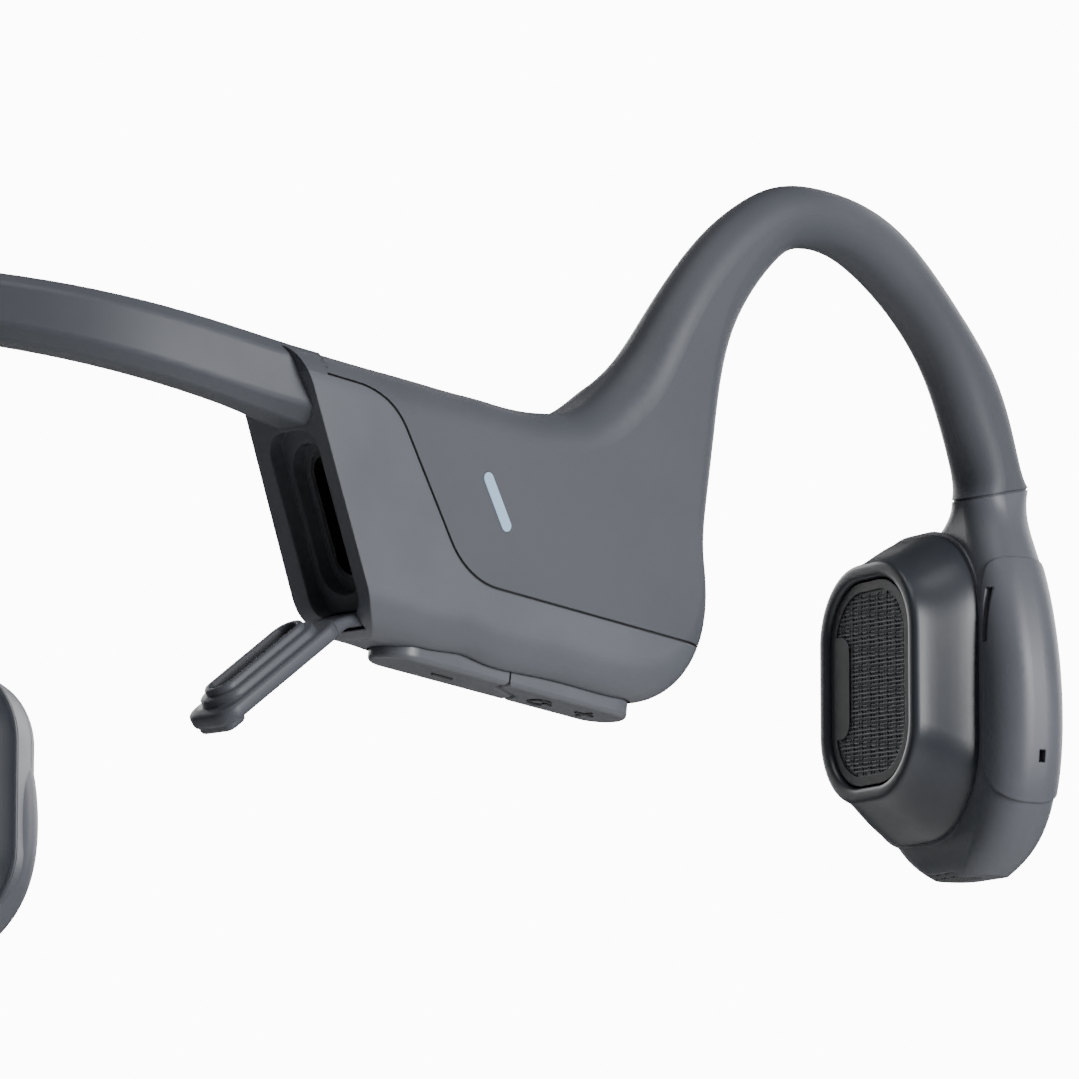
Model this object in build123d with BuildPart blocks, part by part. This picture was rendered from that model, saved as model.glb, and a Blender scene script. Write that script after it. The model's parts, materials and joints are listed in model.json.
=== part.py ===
from build123d import *
import os
from math import atan2, cos, degrees, radians, sin, sqrt

# Bone conduction headphones: two ear pieces joined behind the head by a sprung neckband.
# Millimetres. +X is the wearer's left, +Y is behind the wearer, +Z is up.
# The right ear piece is modelled and the left one is its mirror image about the YZ plane.

# ---------------------------------------------------------------- driving dimensions
HALF_WIDTH = 63.0  # middle plane to the outer face of a housing
SPLAY = 4.0  # the housings open towards the front by this angle
PITCH = 7.0  # the housings and neckband rise towards the back by this angle
TOE_IN = 18.0  # the pods face backwards, turned inwards by this angle

HOUSING_TOP = 8.8
HOUSING_BOTTOM = -9.2
HOUSING_REAR = -22.5
HOUSING_FRONT = 16.2
HOUSING_THICK = 8.0
HOUSING_ROUND = 2.9
REAR_THINNER = 0.6  # how much thinner the housing is at its rear face
WALL = 1.2
REAR_FOOT = -13.3  # where the slanted rear face would meet the bottom
FOOT_ROUND = 4.0  # radius between them
FOOT_DRAFT = 1.2  # keeps the cut behind that radius clear of the underside

SEAM_BELOW_TOP = 1.8
SEAM_CORNER = -14.3  # the seam turns down here
SEAM_KNEE = -6.2  # and runs level again from here
SEAM_FRONT_HEIGHT = -4.2
SEAM_ROUND = 5.5
SEAL_THICK = 0.16
SEAL_INSET = 0.12

HOOK_THICK = 4.6
LEAN_START = 12.0  # the hook curves inwards ahead of this point
LEAN_CURVE = 400.0  # the larger, the gentler
HOOK_WIRE = 0.8  # diameter of the sprung wire in each hook

BAND_JOINT = -19.8  # the neckband's cover starts here
BAND_DEPTH = 33.5  # how far the neckband stands behind that joint
BAND_CLIMB = 13.0  # it rises towards the back by this angle
BAND_CORNER = 29.0
BAND_TALL = 5.2
BAND_MID_TALL = 4.2
BAND_THICK = 4.4
BAND_MID_THICK = 3.4
BAND_EDGE = 0.55  # radius of the edges along the neckband
BAND_WIRE = 1.0
BAND_CABLE = 0.8
CABLE_ABOVE_WIRE = 1.3
BAND_ROOT_SHARE = 0.86  # the band widens into the housing beyond this share of its half length

PLATEAU_RAISED = 0.12  # the panel down the outer side of each pod
PLATEAU_ACROSS = 3.75
PLATEAU_TOP = -5.2
PLATEAU_BOTTOM = -21.0
PLATEAU_ROUNDS = (1.0, 5.0)  # corners at its top and at its bottom
NECK_GROOVE = 0.14  # width of the groove between a hook and its pod
NECK_GROOVE_DEEP = 0.14

PAD_WIDE = 11.2
PAD_TALL = 15.0
PAD_ROUND = 4.4
PAD_THICK = 1.5
PAD_SUNK = 0.35  # how far the pad lies below the rim of its cushion
PAD_POCKET = 0.5
PAD_BORDER = 0.7
PAD_ACROSS = -4.5  # pad centre from the hook's end, outwards
PAD_DOWN = -13.9
CUSHION_LIP = 1.15  # width of the rim round the pad
CUSHION_DEEP = 4.8
CUSHION_FLARE_WIDE = 2.9
CUSHION_FLARE_TALL = 5.1
POD_DEEP = 10.6
POD_WALL = 2.1
POD_SIDE = 1.2
HOOK_BEHIND_PAD = 8.0

FIT = 0.15  # gap round a piece that moves in an opening
SEAT = 0.02  # gap between pieces that are glued or pressed together
KEY_TRAVEL = 0.3
COIL_TRAVEL = 0.15

RECEPTACLE_LONG = 8.94
RECEPTACLE_THICK = 3.2
RECEPTACLE_DEEP = 6.5
RECEPTACLE_WALL = 0.3
TONGUE_LONG = 6.7
TONGUE_THICK = 0.7
PORT_SUNK = 2.3  # mouth of the receptacle below the rear face
PORT_HEIGHT = -2.2
RECESS_LONG = 13.0
RECESS_WIDE = 5.0
RECESS_DEEP = 1.2
COVER_OPEN = 106.0  # how far the port cover stands open as modelled
COVER_THICK = 1.1

KEY_ROW_START = -10.2
KEY_ROW_END = 12.2
KEY_WIDE = 4.2
KEY_PROUD = 0.75
KEY_FLANGE = 0.4
KEY_SPLIT = 1.7
BOARD_THICK = 0.7

TRANSDUCER = 11.6  # diameter of the yoke
LAMP_LONG = 4.3
LAMP_WIDE = 0.85

MIC_LONG = 2.8
MIC_TALL = 2.2
LABEL_WIDE = 1.9
LABEL_TALL = 7.6
HOOK_WIRE_TAIL = 3.2
TRANSDUCER_UP = 1.2  # the transducer sits above the middle of the pad
DRIVER_ACROSS = -5.0
DRIVER_LONG = 7.6
DRIVER_TALL = 3.6
FLAT_END = -3.0  # the housing's outline is straight behind here
FLAT_LINES = 7
CLEAR = 60.0  # half size of the solids that are only used to cut with
TUCK = 4.5  # how far the wire and cable run on into each housing
BAND_STEPS = 14
RECESS_SHIFT = 0.1
HINGE_ALONG = 7.3  # hinge line of the port cover, down the rear face from the port's centre
HINGE_OUT = 0.35
ANCHOR_WIDE = 3.4
ANCHOR_THICK = 1.2
ANCHOR_DEEP = 2.4
FLANGE_THICK = 0.55
SWITCH_SIZE = 2.8
SWITCH_THICK = 0.8
GRILLE_LONG = 9.5
GRILLE_WIDE = 2.4
GRILLE_THICK = 0.7
GRILLE_ACROSS = -5.4
TRANSDUCER_WALL = 0.9
COIL_OUT = 4.6
COIL_IN = 4.1
MAGNET_RADIUS = 3.6
VENT_ACROSS = 4.4
VENT_DOWN = -9.6
VENT_LONG = 4.0
VENT_WIDE = 0.5
MIC_ACROSS = 3.4
MIC_DOWN = -20.0
CONTROL_TALL = 8.6
CONTROL_WIDE = 4.6
CONTROL_ACROSS = -3.4
CONTROL_DOWN = -14.5
CONTROL_PROUD = 0.35
CONTROL_TRAVEL = 0.25
BATTERY_THICK = 4.4
BATTERY_LONG = 17.5
BATTERY_BOARD_LONG = 15.0
BATTERY_MIDDLE = 1.2
ROOF_THICK = 2.0  # solid part of the cover above the room inside a housing
PORT_ROOM_TOP = 8.2  # solid part ahead of the rear face, at the roof of that room
PORT_ROOM_FOOT = 6.5  # and at its floor
FLEX_LONG = 17.0
FLEX_MIDDLE = 0.3
MAIN_BOARD_START = -5.0
CHIP_THICK = 0.8
CHIPS = (  # along the arm, up it, long and tall
    (-1.5, 1.0, 4.5, 4.5),
    (4.5, 1.8, 3.6, 3.0),
    (8.6, -1.2, 2.2, 3.4),
)
LAMP_FROM = (-5.3, 3.5)
LAMP_TO = (-2.9, 0.0)
LAMP_PROUD = 0.04
SLOT_SPARE_LONG = 1.6  # the stepped mouth round the receptacle
SLOT_SPARE_WIDE = 0.9
PLUG_GAP = 0.7  # the cover's plug is this much smaller than that mouth
PLUG_STEP = 0.8  # its end is smaller again by this much
PLUG_STEPS = (0.55, 0.5)
FINGER_TAB = (1.8, 0.45)  # length of the raised end of the cover, and its rise
SEAT_SHIFT = (-0.4, -0.3)  # from the pad's centre to the centre of its cushion's seat
DRIVER_WALL = 0.4
DRIVER_DEEP = 2.4

os.makedirs("parts", exist_ok=True)
finished = []


def keep(builder, name):
    """Labels a finished piece and keeps it for the export at the end."""
    builder.part.label = name
    finished.append(builder.part)


def keep_mirrored(builder, name):
    """Keeps the left-hand copy of a right-hand piece."""
    with BuildPart() as copy:
        mirror(builder.part, about=Plane.YZ)
    keep(copy, name)


# ---------------------------------------------------------------- frames of the right side
outward = Vector(-cos(radians(SPLAY)), sin(radians(SPLAY)), 0)
forward = Vector(
    -sin(radians(SPLAY)) * cos(radians(PITCH)),
    -cos(radians(SPLAY)) * cos(radians(PITCH)),
    -sin(radians(PITCH)),
)
arm = Plane(origin=(-HALF_WIDTH, 0, 0), x_dir=forward, z_dir=outward)


def arm_point(a, h, w=0.0):
    """World point from arm coordinates: a forwards, h up, w outwards from the outer face."""
    return arm.from_local_coords(Vector(a, h, w))


def lean(a):
    """How far the hook has curved inwards at the distance a along the arm."""
    return max(0.0, a - LEAN_START) ** 2 / LEAN_CURVE


def cross_plane(top, bottom, middle):
    """Plane across the arm, its x axis from the bottom outline point to the top one."""
    low = arm_point(bottom[0], bottom[1], middle)
    high = arm_point(top[0], top[1], middle)
    along = (high - low).normalized()
    return Plane(origin=(low + high) / 2, x_dir=along, z_dir=outward.cross(along))


def reach(top, bottom):
    """Length of the line across the arm between its two outlines."""
    return sqrt((top[0] - bottom[0]) ** 2 + (top[1] - bottom[1]) ** 2)


# Lines across the arm: outline point on top, outline point below, thickness.
flat_start = HOUSING_REAR - 2.0
housing_lines = []
for line in range(FLAT_LINES):
    share = line / (FLAT_LINES - 1)
    along_flat = flat_start + share * (FLAT_END - flat_start)
    housing_lines.append((
        (along_flat, HOUSING_TOP + 0.3 * share),
        (along_flat, HOUSING_BOTTOM),
        HOUSING_THICK - REAR_THINNER * (1 - share) ** 2,
    ))
housing_lines += [
    ((0.5, HOUSING_TOP + 0.6), (1.5, HOUSING_BOTTOM), HOUSING_THICK),
    ((2.9, HOUSING_TOP + 1.1), (8.5, HOUSING_BOTTOM + 0.1), HOUSING_THICK),
    ((4.6, HOUSING_TOP + 1.9), (13.2, HOUSING_BOTTOM + 0.9), HOUSING_THICK - 0.1),
    ((6.0, HOUSING_TOP + 3.1), (HOUSING_FRONT, HOUSING_BOTTOM + 3.6), HOUSING_THICK - 0.4),
    ((7.3, HOUSING_TOP + 4.6), (HOUSING_FRONT + 0.2, 1.0), HOUSING_THICK - 1.2),
    ((8.8, HOUSING_TOP + 6.8), (HOUSING_FRONT + 0.1, 7.4), HOUSING_THICK - 2.2),
]
hook_lines = [
    ((10.2, 18.3), (HOUSING_FRONT + 0.2, 13.0), HOOK_THICK + 0.5),
    ((12.0, 21.6), (16.9, 17.6), HOOK_THICK + 0.1),
    ((14.9, 25.7), (18.9, 22.2), HOOK_THICK),
    ((18.6, 29.2), (21.4, 25.4), HOOK_THICK),
    ((23.6, 31.4), (24.9, 27.2), HOOK_THICK),
    ((29.4, 31.6), (29.2, 27.3), HOOK_THICK),
    ((36.2, 29.5), (34.7, 25.4), HOOK_THICK),
    ((42.4, 25.7), (39.9, 22.0), HOOK_THICK),
    ((47.6, 20.7), (43.4, 17.7), HOOK_THICK),
    ((50.9, 15.6), (45.2, 13.6), HOOK_THICK),
]


def arm_middle(top, bottom, thick):
    """Depth of the middle of the arm's thickness, from the plane of its outer face."""
    return -thick / 2 - lean((top[0] + bottom[0]) / 2)


def arm_sections(lines, roundness, inset=0.0):
    """A rounded section across each line of the arm, to loft through."""
    sections = []
    for top, bottom, thick in lines:
        long = reach(top, bottom) - 2 * inset
        deep = thick - 2 * inset
        corner = min(roundness, deep / 2 - 0.15, long / 2 - 0.15)
        with BuildSketch(cross_plane(top, bottom, arm_middle(top, bottom, thick))) as section:
            RectangleRounded(long, deep, corner)
        sections.append(section.sketch.face())
    return sections


# ---------------------------------------------------------------- the arm, its seam and its rear face
seam_height = HOUSING_TOP - SEAM_BELOW_TOP
rear_slope = (REAR_FOOT - HOUSING_REAR) / (HOUSING_TOP - HOUSING_BOTTOM)


def rear_at(height):
    """Distance along the arm of the slanted rear face at a height."""
    return HOUSING_REAR + (HOUSING_TOP - height) * rear_slope


def below_seam(shift_a, shift_h):
    """Side view of everything below the seam, moved by a small shift."""
    with BuildSketch(arm.offset(CLEAR)) as below:
        with BuildLine():
            upper = FilletPolyline(
                (HOUSING_REAR - CLEAR, seam_height + shift_h),
                (SEAM_CORNER + shift_a, seam_height + shift_h),
                (SEAM_KNEE + shift_a, SEAM_FRONT_HEIGHT + shift_h),
                (HOUSING_FRONT + CLEAR, SEAM_FRONT_HEIGHT + shift_h),
                radius=SEAM_ROUND,
            )
            Polyline(
                upper @ 1,
                (HOUSING_FRONT + CLEAR, -CLEAR),
                (HOUSING_REAR - CLEAR, -CLEAR),
                upper @ 0,
            )
        make_face()
    return below.sketch


with BuildPart() as arm_body:
    loft(arm_sections(housing_lines + hook_lines, HOUSING_ROUND))

with BuildPart() as arm_core:
    loft(arm_sections(housing_lines, HOUSING_ROUND, SEAL_INSET))

with BuildPart() as lower_side:
    extrude(below_seam(0, 0), amount=-2 * CLEAR)

with BuildPart() as lower_side_and_seal:
    extrude(below_seam(SEAL_THICK * 0.7, SEAL_THICK), amount=-2 * CLEAR)

with BuildPart() as behind_rear:
    with BuildSketch(arm.offset(CLEAR)):
        with BuildLine():
            foot = FilletPolyline(
                (rear_at(CLEAR), CLEAR),
                (REAR_FOOT, HOUSING_BOTTOM),
                (HOUSING_FRONT, HOUSING_BOTTOM - FOOT_DRAFT),
                radius=FOOT_ROUND,
            )
            Polyline(
                foot @ 1,
                (HOUSING_FRONT, -CLEAR),
                (rear_at(CLEAR) - 2 * CLEAR, -CLEAR),
                (rear_at(CLEAR) - 2 * CLEAR, CLEAR),
                foot @ 0,
            )
        make_face()
    extrude(amount=-2 * CLEAR)

with BuildPart() as behind_joint:
    with BuildSketch(arm.offset(CLEAR)):
        with Locations((BAND_JOINT - CLEAR, 0)):
            Rectangle(2 * CLEAR, 3 * CLEAR)
    extrude(amount=-2 * CLEAR)

# Room inside the housing for the electronics or the battery.
cavity_floor = HOUSING_BOTTOM + WALL
cavity_roof = seam_height - ROOF_THICK
cavity_skin = WALL + 0.2
cavity_thick = HOUSING_THICK - 2 * cavity_skin
with BuildPart() as cavity:
    with BuildSketch(arm.offset(-cavity_skin)):
        Polygon(
            (rear_at(cavity_roof) + PORT_ROOM_TOP, cavity_roof),
            (rear_at(cavity_floor) + PORT_ROOM_FOOT, cavity_floor),
            (HOUSING_FRONT - 4.6, cavity_floor),
            (HOUSING_FRONT - 3.4, cavity_floor + 5.0),
            (HOUSING_FRONT - 4.8, cavity_roof),
            align=None,
        )
    extrude(amount=-cavity_thick)

# ---------------------------------------------------------------- neckband route
band_end = arm_point(BAND_JOINT, HOUSING_TOP - BAND_TALL / 2, -(HOUSING_THICK - REAR_THINNER) / 2)
climb = Vector(0, cos(radians(BAND_CLIMB)), sin(radians(BAND_CLIMB)))
band_plane = Plane(
    origin=(0, band_end.Y, band_end.Z),
    x_dir=(1, 0, 0),
    z_dir=(0, -sin(radians(BAND_CLIMB)), cos(radians(BAND_CLIMB))),
)
corner_x = band_end.X + BAND_CORNER * cos(radians(SPLAY))
corner_y = -BAND_CORNER * sin(radians(SPLAY))
back_gap = BAND_DEPTH - corner_y
back_radius = (corner_x**2 + back_gap**2 - BAND_CORNER**2) / (2 * (back_gap - BAND_CORNER))
back_y = BAND_DEPTH - back_radius
tangent_angle = degrees(atan2(corner_y - back_y, -corner_x))


def band_path(plane):
    """The neckband's route: a tuck into each housing and three tangent arcs."""
    tuck_x = TUCK * sin(radians(SPLAY))
    tuck_y = TUCK * cos(radians(SPLAY))
    with BuildLine(plane) as route:
        Line((band_end.X - tuck_x, -tuck_y), (band_end.X, 0))
        CenterArc((corner_x, corner_y), BAND_CORNER, 180 - SPLAY, SPLAY - tangent_angle)
        CenterArc((0, back_y), back_radius, 180 - tangent_angle, 2 * tangent_angle - 180)
        CenterArc((-corner_x, corner_y), BAND_CORNER, tangent_angle, SPLAY - tangent_angle)
        Line((-band_end.X, 0), (tuck_x - band_end.X, -tuck_y))
    return route


def tube(plane, radius):
    """Sweeps a round section along the neckband's route."""
    route = band_path(plane).wire()
    with BuildSketch(Plane(origin=route @ 0, z_dir=route % 0)) as section:
        Circle(radius)
    sweep(section.sketch, path=route)


# ---------------------------------------------------------------- neckband


def band_section(plane, share):
    """Places the neckband's section at a share of the way round, thinnest in the middle."""
    route = band_path(plane).wire()
    near_end = abs(2 * share - 1)
    tall = BAND_MID_TALL + (BAND_TALL - BAND_MID_TALL) * near_end**2
    thick = BAND_MID_THICK + (BAND_THICK - BAND_MID_THICK) * near_end**2
    root = max(0.0, near_end - BAND_ROOT_SHARE) / (1 - BAND_ROOT_SHARE)
    thick += (HOUSING_THICK - REAR_THINNER - 0.8 - BAND_THICK) * root**2
    tuck_share = TUCK / route.length
    place = tuck_share + share * (1 - 2 * tuck_share)
    along = route % place
    with BuildSketch(Plane(origin=route @ place, x_dir=plane.z_dir, z_dir=along)) as section:
        with BuildLine():
            FilletPolyline(
                (tall / 2, -0.30 * thick),
                (tall / 2, 0.24 * thick),
                (0.10 * tall, thick / 2),
                (-0.42 * tall, 0.30 * thick),
                (-tall / 2, 0.05 * thick),
                (-tall / 2, -0.30 * thick),
                (-0.30 * tall, -thick / 2),
                (0.30 * tall, -thick / 2),
                radius=BAND_EDGE,
                close=True,
            )
        make_face()
    return section.sketch.face()


with BuildPart() as band_blank:
    loft([band_section(band_plane, step / BAND_STEPS) for step in range(BAND_STEPS + 1)])

with BuildPart() as neckband_wire:
    tube(band_plane, BAND_WIRE / 2)

cable_plane = band_plane.offset(CABLE_ABOVE_WIRE)
with BuildPart() as neckband_cable:
    tube(cable_plane, BAND_CABLE / 2)

with BuildPart() as band_channels:
    tube(band_plane, BAND_WIRE / 2 + SEAT)
    tube(cable_plane, BAND_CABLE / 2 + SEAT)

# ---------------------------------------------------------------- port at the housing's rear face
slope_length = sqrt(1 + rear_slope**2)
port_centre = arm_point(rear_at(PORT_HEIGHT), PORT_HEIGHT, -(HOUSING_THICK - REAR_THINNER) / 2)
down_slope = (forward * rear_slope + arm.y_dir * -1) / slope_length
port = Plane(origin=port_centre, x_dir=down_slope, z_dir=down_slope.cross(outward))
slot_long = RECEPTACLE_LONG + SLOT_SPARE_LONG
slot_wide = RECEPTACLE_THICK + SLOT_SPARE_WIDE
receptacle_back = PORT_SUNK + RECEPTACLE_DEEP

with BuildPart() as port_hollow:
    with BuildSketch(port.offset(1)):
        with Locations((RECESS_SHIFT, 0)):
            RectangleRounded(RECESS_LONG, RECESS_WIDE, 1.6)
    extrude(amount=-1 - RECESS_DEEP)
    with BuildSketch(port.offset(-RECESS_DEEP + 0.5)):
        RectangleRounded(slot_long, slot_wide, slot_wide / 2 - 0.05)
    extrude(amount=RECESS_DEEP - 0.5 - PORT_SUNK)
    with BuildSketch(port.offset(-PORT_SUNK + 0.5)):
        SlotOverall(RECEPTACLE_LONG + 2 * SEAT, RECEPTACLE_THICK + 2 * SEAT)
    extrude(amount=-0.5 - RECEPTACLE_DEEP - SEAT)

with BuildPart() as usb_receptacle:
    with BuildSketch(port.offset(-receptacle_back)):
        SlotOverall(RECEPTACLE_LONG, RECEPTACLE_THICK)
    extrude(amount=RECEPTACLE_DEEP)
    with BuildSketch(port.offset(-PORT_SUNK)):
        SlotOverall(RECEPTACLE_LONG - 2 * RECEPTACLE_WALL, RECEPTACLE_THICK - 2 * RECEPTACLE_WALL)
    extrude(amount=-RECEPTACLE_DEEP + 2 * RECEPTACLE_WALL, mode=Mode.SUBTRACT)

with BuildPart() as usb_tongue:
    with BuildSketch(port.offset(-receptacle_back + 2 * RECEPTACLE_WALL)):
        Rectangle(TONGUE_LONG, TONGUE_THICK)
    extrude(amount=RECEPTACLE_DEEP - 2 * RECEPTACLE_WALL - 0.6)
    with BuildSketch(port.offset(-receptacle_back + 2 * RECEPTACLE_WALL)):
        SlotOverall(RECEPTACLE_LONG - 3 * RECEPTACLE_WALL, RECEPTACLE_THICK - 3 * RECEPTACLE_WALL)
    extrude(amount=1.2)

# The cover is drawn closed, then swung open about its hinge line.
cover_long = RECESS_LONG - 2 * FIT - 0.4
hinge_line = Axis(port.from_local_coords(Vector(HINGE_ALONG, 0, HINGE_OUT)), port.y_dir)

with BuildPart() as port_cover:
    with BuildSketch(port.offset(-COVER_THICK)):
        with Locations((RECESS_SHIFT, 0)):
            RectangleRounded(cover_long, RECESS_WIDE - 2 * FIT, 1.4)
    extrude(amount=COVER_THICK)
    for step, step_thick in enumerate(PLUG_STEPS):
        plug_wide = slot_wide - PLUG_GAP - step * PLUG_STEP
        with BuildSketch(port.offset(-COVER_THICK - step * PLUG_STEPS[0])):
            RectangleRounded(plug_wide + slot_long - slot_wide, plug_wide, plug_wide / 2 - 0.05)
        extrude(amount=-step_thick)
    with BuildSketch(port):
        with Locations((RECESS_SHIFT - cover_long / 2 + 1.2, 0)):
            RectangleRounded(FINGER_TAB[0], RECESS_WIDE - 1.4, 0.6)
    extrude(amount=FINGER_TAB[1])
with BuildPart() as port_cover_open:
    add(port_cover.part.rotate(hinge_line, COVER_OPEN))

with BuildPart() as port_cover_anchor:
    with BuildSketch(port.offset(-ANCHOR_DEEP)):
        with Locations((HINGE_ALONG - 0.3, 0)):
            Rectangle(ANCHOR_THICK, ANCHOR_WIDE)
    extrude(amount=ANCHOR_DEEP + HINGE_OUT)

# ---------------------------------------------------------------- keys on the housing's underside
key_middle = -HOUSING_THICK / 2
key_row = KEY_ROW_END - KEY_ROW_START
under = Plane(
    origin=arm_point((KEY_ROW_START + KEY_ROW_END) / 2, 0, key_middle),
    x_dir=forward,
    z_dir=arm.y_dir * -1,
)


def key_outline(grow, side):
    """Outline of one key, seen from below, with the S-shaped split between the two keys."""
    edge = key_row / 2 + 2.0
    centre = KEY_SPLIT - (KEY_ROW_START + KEY_ROW_END) / 2 + side * FIT / 2
    with BuildSketch() as outline:
        SlotOverall(key_row + 2 * grow, KEY_WIDE + 2 * grow)
        with BuildSketch(mode=Mode.INTERSECT):
            with BuildLine():
                split = FilletPolyline(
                    (centre - 1.55, KEY_WIDE), (centre - 1.55, 0.75), (centre + 1.55, -0.75),
                    (centre + 1.55, -KEY_WIDE), radius=0.9,
                )
                Polyline(split @ 1, (side * edge, -KEY_WIDE), (side * edge, KEY_WIDE), split @ 0)
            make_face()
    return outline.sketch


key_bottom = -HOUSING_BOTTOM + KEY_PROUD
flange_low = -cavity_floor - 0.05
keys = []
for side in (-1, 1):
    with BuildPart() as key:
        with BuildSketch(under.offset(flange_low - 0.01)):
            add(key_outline(0, side))
        extrude(amount=key_bottom - flange_low + 0.01)
        fillet(key.faces().sort_by(Axis(under.origin, under.z_dir))[-1].edges(), 0.35)
        with BuildSketch(under.offset(flange_low)):
            add(key_outline(KEY_FLANGE, side))
        extrude(amount=-FLANGE_THICK)
    keys.append(key)

volume_down_button, volume_up_button = keys

with BuildPart() as key_hollow:
    with BuildSketch(under.offset(key_bottom + 1)):
        SlotOverall(key_row + 2 * FIT, KEY_WIDE + 2 * FIT)
    extrude(amount=flange_low - key_bottom - 1.5)
    with BuildSketch(under.offset(-cavity_floor)):
        SlotOverall(key_row + 2 * KEY_FLANGE + 2 * FIT, KEY_WIDE + 2 * KEY_FLANGE + 2 * FIT)
    extrude(amount=-FLANGE_THICK - KEY_TRAVEL - 0.4)

# ---------------------------------------------------------------- electronics in the right housing
switch_level = flange_low - FLANGE_THICK - KEY_TRAVEL - 0.05
key_spots = {"volume_down_switch": -6.6, "volume_up_switch": 6.2}
for name, spot in key_spots.items():
    with BuildPart() as switch:
        with BuildSketch(under.offset(switch_level)):
            with Locations((spot, 0)):
                RectangleRounded(SWITCH_SIZE, SWITCH_SIZE, 0.3)
        extrude(amount=-SWITCH_THICK)
    keep(switch, name)

flex_level = switch_level - SWITCH_THICK
with BuildPart() as key_board:
    with BuildSketch(under.offset(flex_level)):
        with Locations((FLEX_MIDDLE, 0)):
            RectangleRounded(FLEX_LONG, cavity_thick - 2 * FIT, 0.8)
    extrude(amount=-BOARD_THICK)

board_floor = -(flex_level - BOARD_THICK) + FIT
with BuildPart() as main_board:
    with BuildSketch(arm.offset(key_middle - BOARD_THICK / 2)):
        Polygon(
            (MAIN_BOARD_START, board_floor),
            (HOUSING_FRONT - 5.2, board_floor),
            (HOUSING_FRONT - 5.2, cavity_roof - FIT),
            (MAIN_BOARD_START, cavity_roof - FIT),
            align=None,
        )
    extrude(amount=BOARD_THICK)
    for chip_a, chip_h, chip_long, chip_tall in CHIPS:
        with BuildSketch(arm.offset(key_middle + BOARD_THICK / 2)):
            with Locations((chip_a, chip_h)):
                Rectangle(chip_long, chip_tall)
        extrude(amount=CHIP_THICK)

# The light behind the outer face: a clear pill that runs through the cover's wall.
lamp_turn = degrees(atan2(LAMP_TO[1] - LAMP_FROM[1], LAMP_TO[0] - LAMP_FROM[0]))
lamp_middle = ((LAMP_FROM[0] + LAMP_TO[0]) / 2, (LAMP_FROM[1] + LAMP_TO[1]) / 2)


def lamp(grow, proud, depth):
    """The light's pill through the outer wall, grown by a clearance."""
    with BuildSketch(arm.offset(proud)) as pill:
        with Locations(Location(lamp_middle, lamp_turn)):
            SlotOverall(LAMP_LONG + 2 * grow, LAMP_WIDE + 2 * grow)
    extrude(pill.sketch, amount=-proud - depth)


with BuildPart() as led_light_pipe:
    lamp(0, LAMP_PROUD, cavity_skin + 0.5)

with BuildPart() as lamp_hollow:
    lamp(SEAT, 1, cavity_skin + 0.5)

# ---------------------------------------------------------------- hook wire


def hook_circle(line, radius):
    """Round section in the middle of one line of the arm."""
    top, bottom, thick = line
    with BuildSketch(cross_plane(top, bottom, arm_middle(top, bottom, thick))) as section:
        Circle(radius)
    return section.sketch.face()


# ---------------------------------------------------------------- pod, hung from the hook's end
pad_facing = Vector(sin(radians(TOE_IN)), cos(radians(TOE_IN)), 0)
across = Vector(-cos(radians(TOE_IN)), sin(radians(TOE_IN)), 0)
end_top, end_bottom, end_thick = hook_lines[-1]
hook_end = arm_point(
    (end_top[0] + end_bottom[0]) / 2,
    (end_top[1] + end_bottom[1]) / 2,
    arm_middle(end_top, end_bottom, end_thick),
)
pod = Plane(origin=hook_end + pad_facing * HOOK_BEHIND_PAD, x_dir=across, z_dir=pad_facing)

cushion_wide = PAD_WIDE + 2 * CUSHION_LIP + 2 * FIT
cushion_tall = PAD_TALL + 2 * CUSHION_LIP + 2 * FIT
cushion_round = PAD_ROUND + CUSHION_LIP
seat_wide = cushion_wide + CUSHION_FLARE_WIDE
seat_tall = cushion_tall + CUSHION_FLARE_TALL
seat_round = cushion_round + CUSHION_FLARE_WIDE / 2
seat_across = PAD_ACROSS + SEAT_SHIFT[0]
seat_down = PAD_DOWN + SEAT_SHIFT[1]
room_wide = seat_wide - 2 * POD_SIDE
room_tall = seat_tall - 2 * POD_SIDE
room_back = -POD_DEEP + POD_WALL

# Level sections of the shell: height below the hook's end, inner and outer edge across it,
# back and front.
pod_lines = [
    (-3.0, -4.8, 3.3, -POD_DEEP + 0.1, -CUSHION_DEEP - 0.5),
    (-6.5, -9.6, 5.0, -POD_DEEP, -CUSHION_DEEP - 0.1),
    (-10.5, -12.4, 6.3, -POD_DEEP, -CUSHION_DEEP),
    (-15.0, -13.3, 7.0, -POD_DEEP, -CUSHION_DEEP),
    (-19.5, -13.1, 6.9, -POD_DEEP, -CUSHION_DEEP),
    (-23.5, -11.6, 5.9, -POD_DEEP + 0.1, -CUSHION_DEEP),
    (-26.4, -8.9, 3.9, -POD_DEEP + 0.5, -CUSHION_DEEP - 0.2),
    (-28.2, -5.6, 1.2, -POD_DEEP + 1.4, -CUSHION_DEEP - 1.0),
]


def pod_sections(inset=0.0):
    """The hook's last section, then the level sections of the pod below it."""
    sections = arm_sections(hook_lines[-1:], HOUSING_ROUND, inset)
    for height, inner, outer, back, front in pod_lines:
        middle = pod.from_local_coords(Vector((inner + outer) / 2, height, (back + front) / 2))
        deep = front - back - 2 * inset
        wide = outer - inner - 2 * inset
        with BuildSketch(Plane(origin=middle, x_dir=pad_facing * -1, z_dir=(0, 0, 1))) as section:
            RectangleRounded(deep, wide, min(2.5, deep / 2 - 0.2))
        sections.append(section.sketch.face())
    return sections


def pod_outline(wide, tall, corner, shift=(0.0, 0.0)):
    """Rounded outline on the pod's own plane, centred on the cushion's seat."""
    with BuildSketch() as outline:
        with Locations((seat_across + shift[0], seat_down + shift[1])):
            RectangleRounded(wide, tall, corner)
    return outline.sketch


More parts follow.
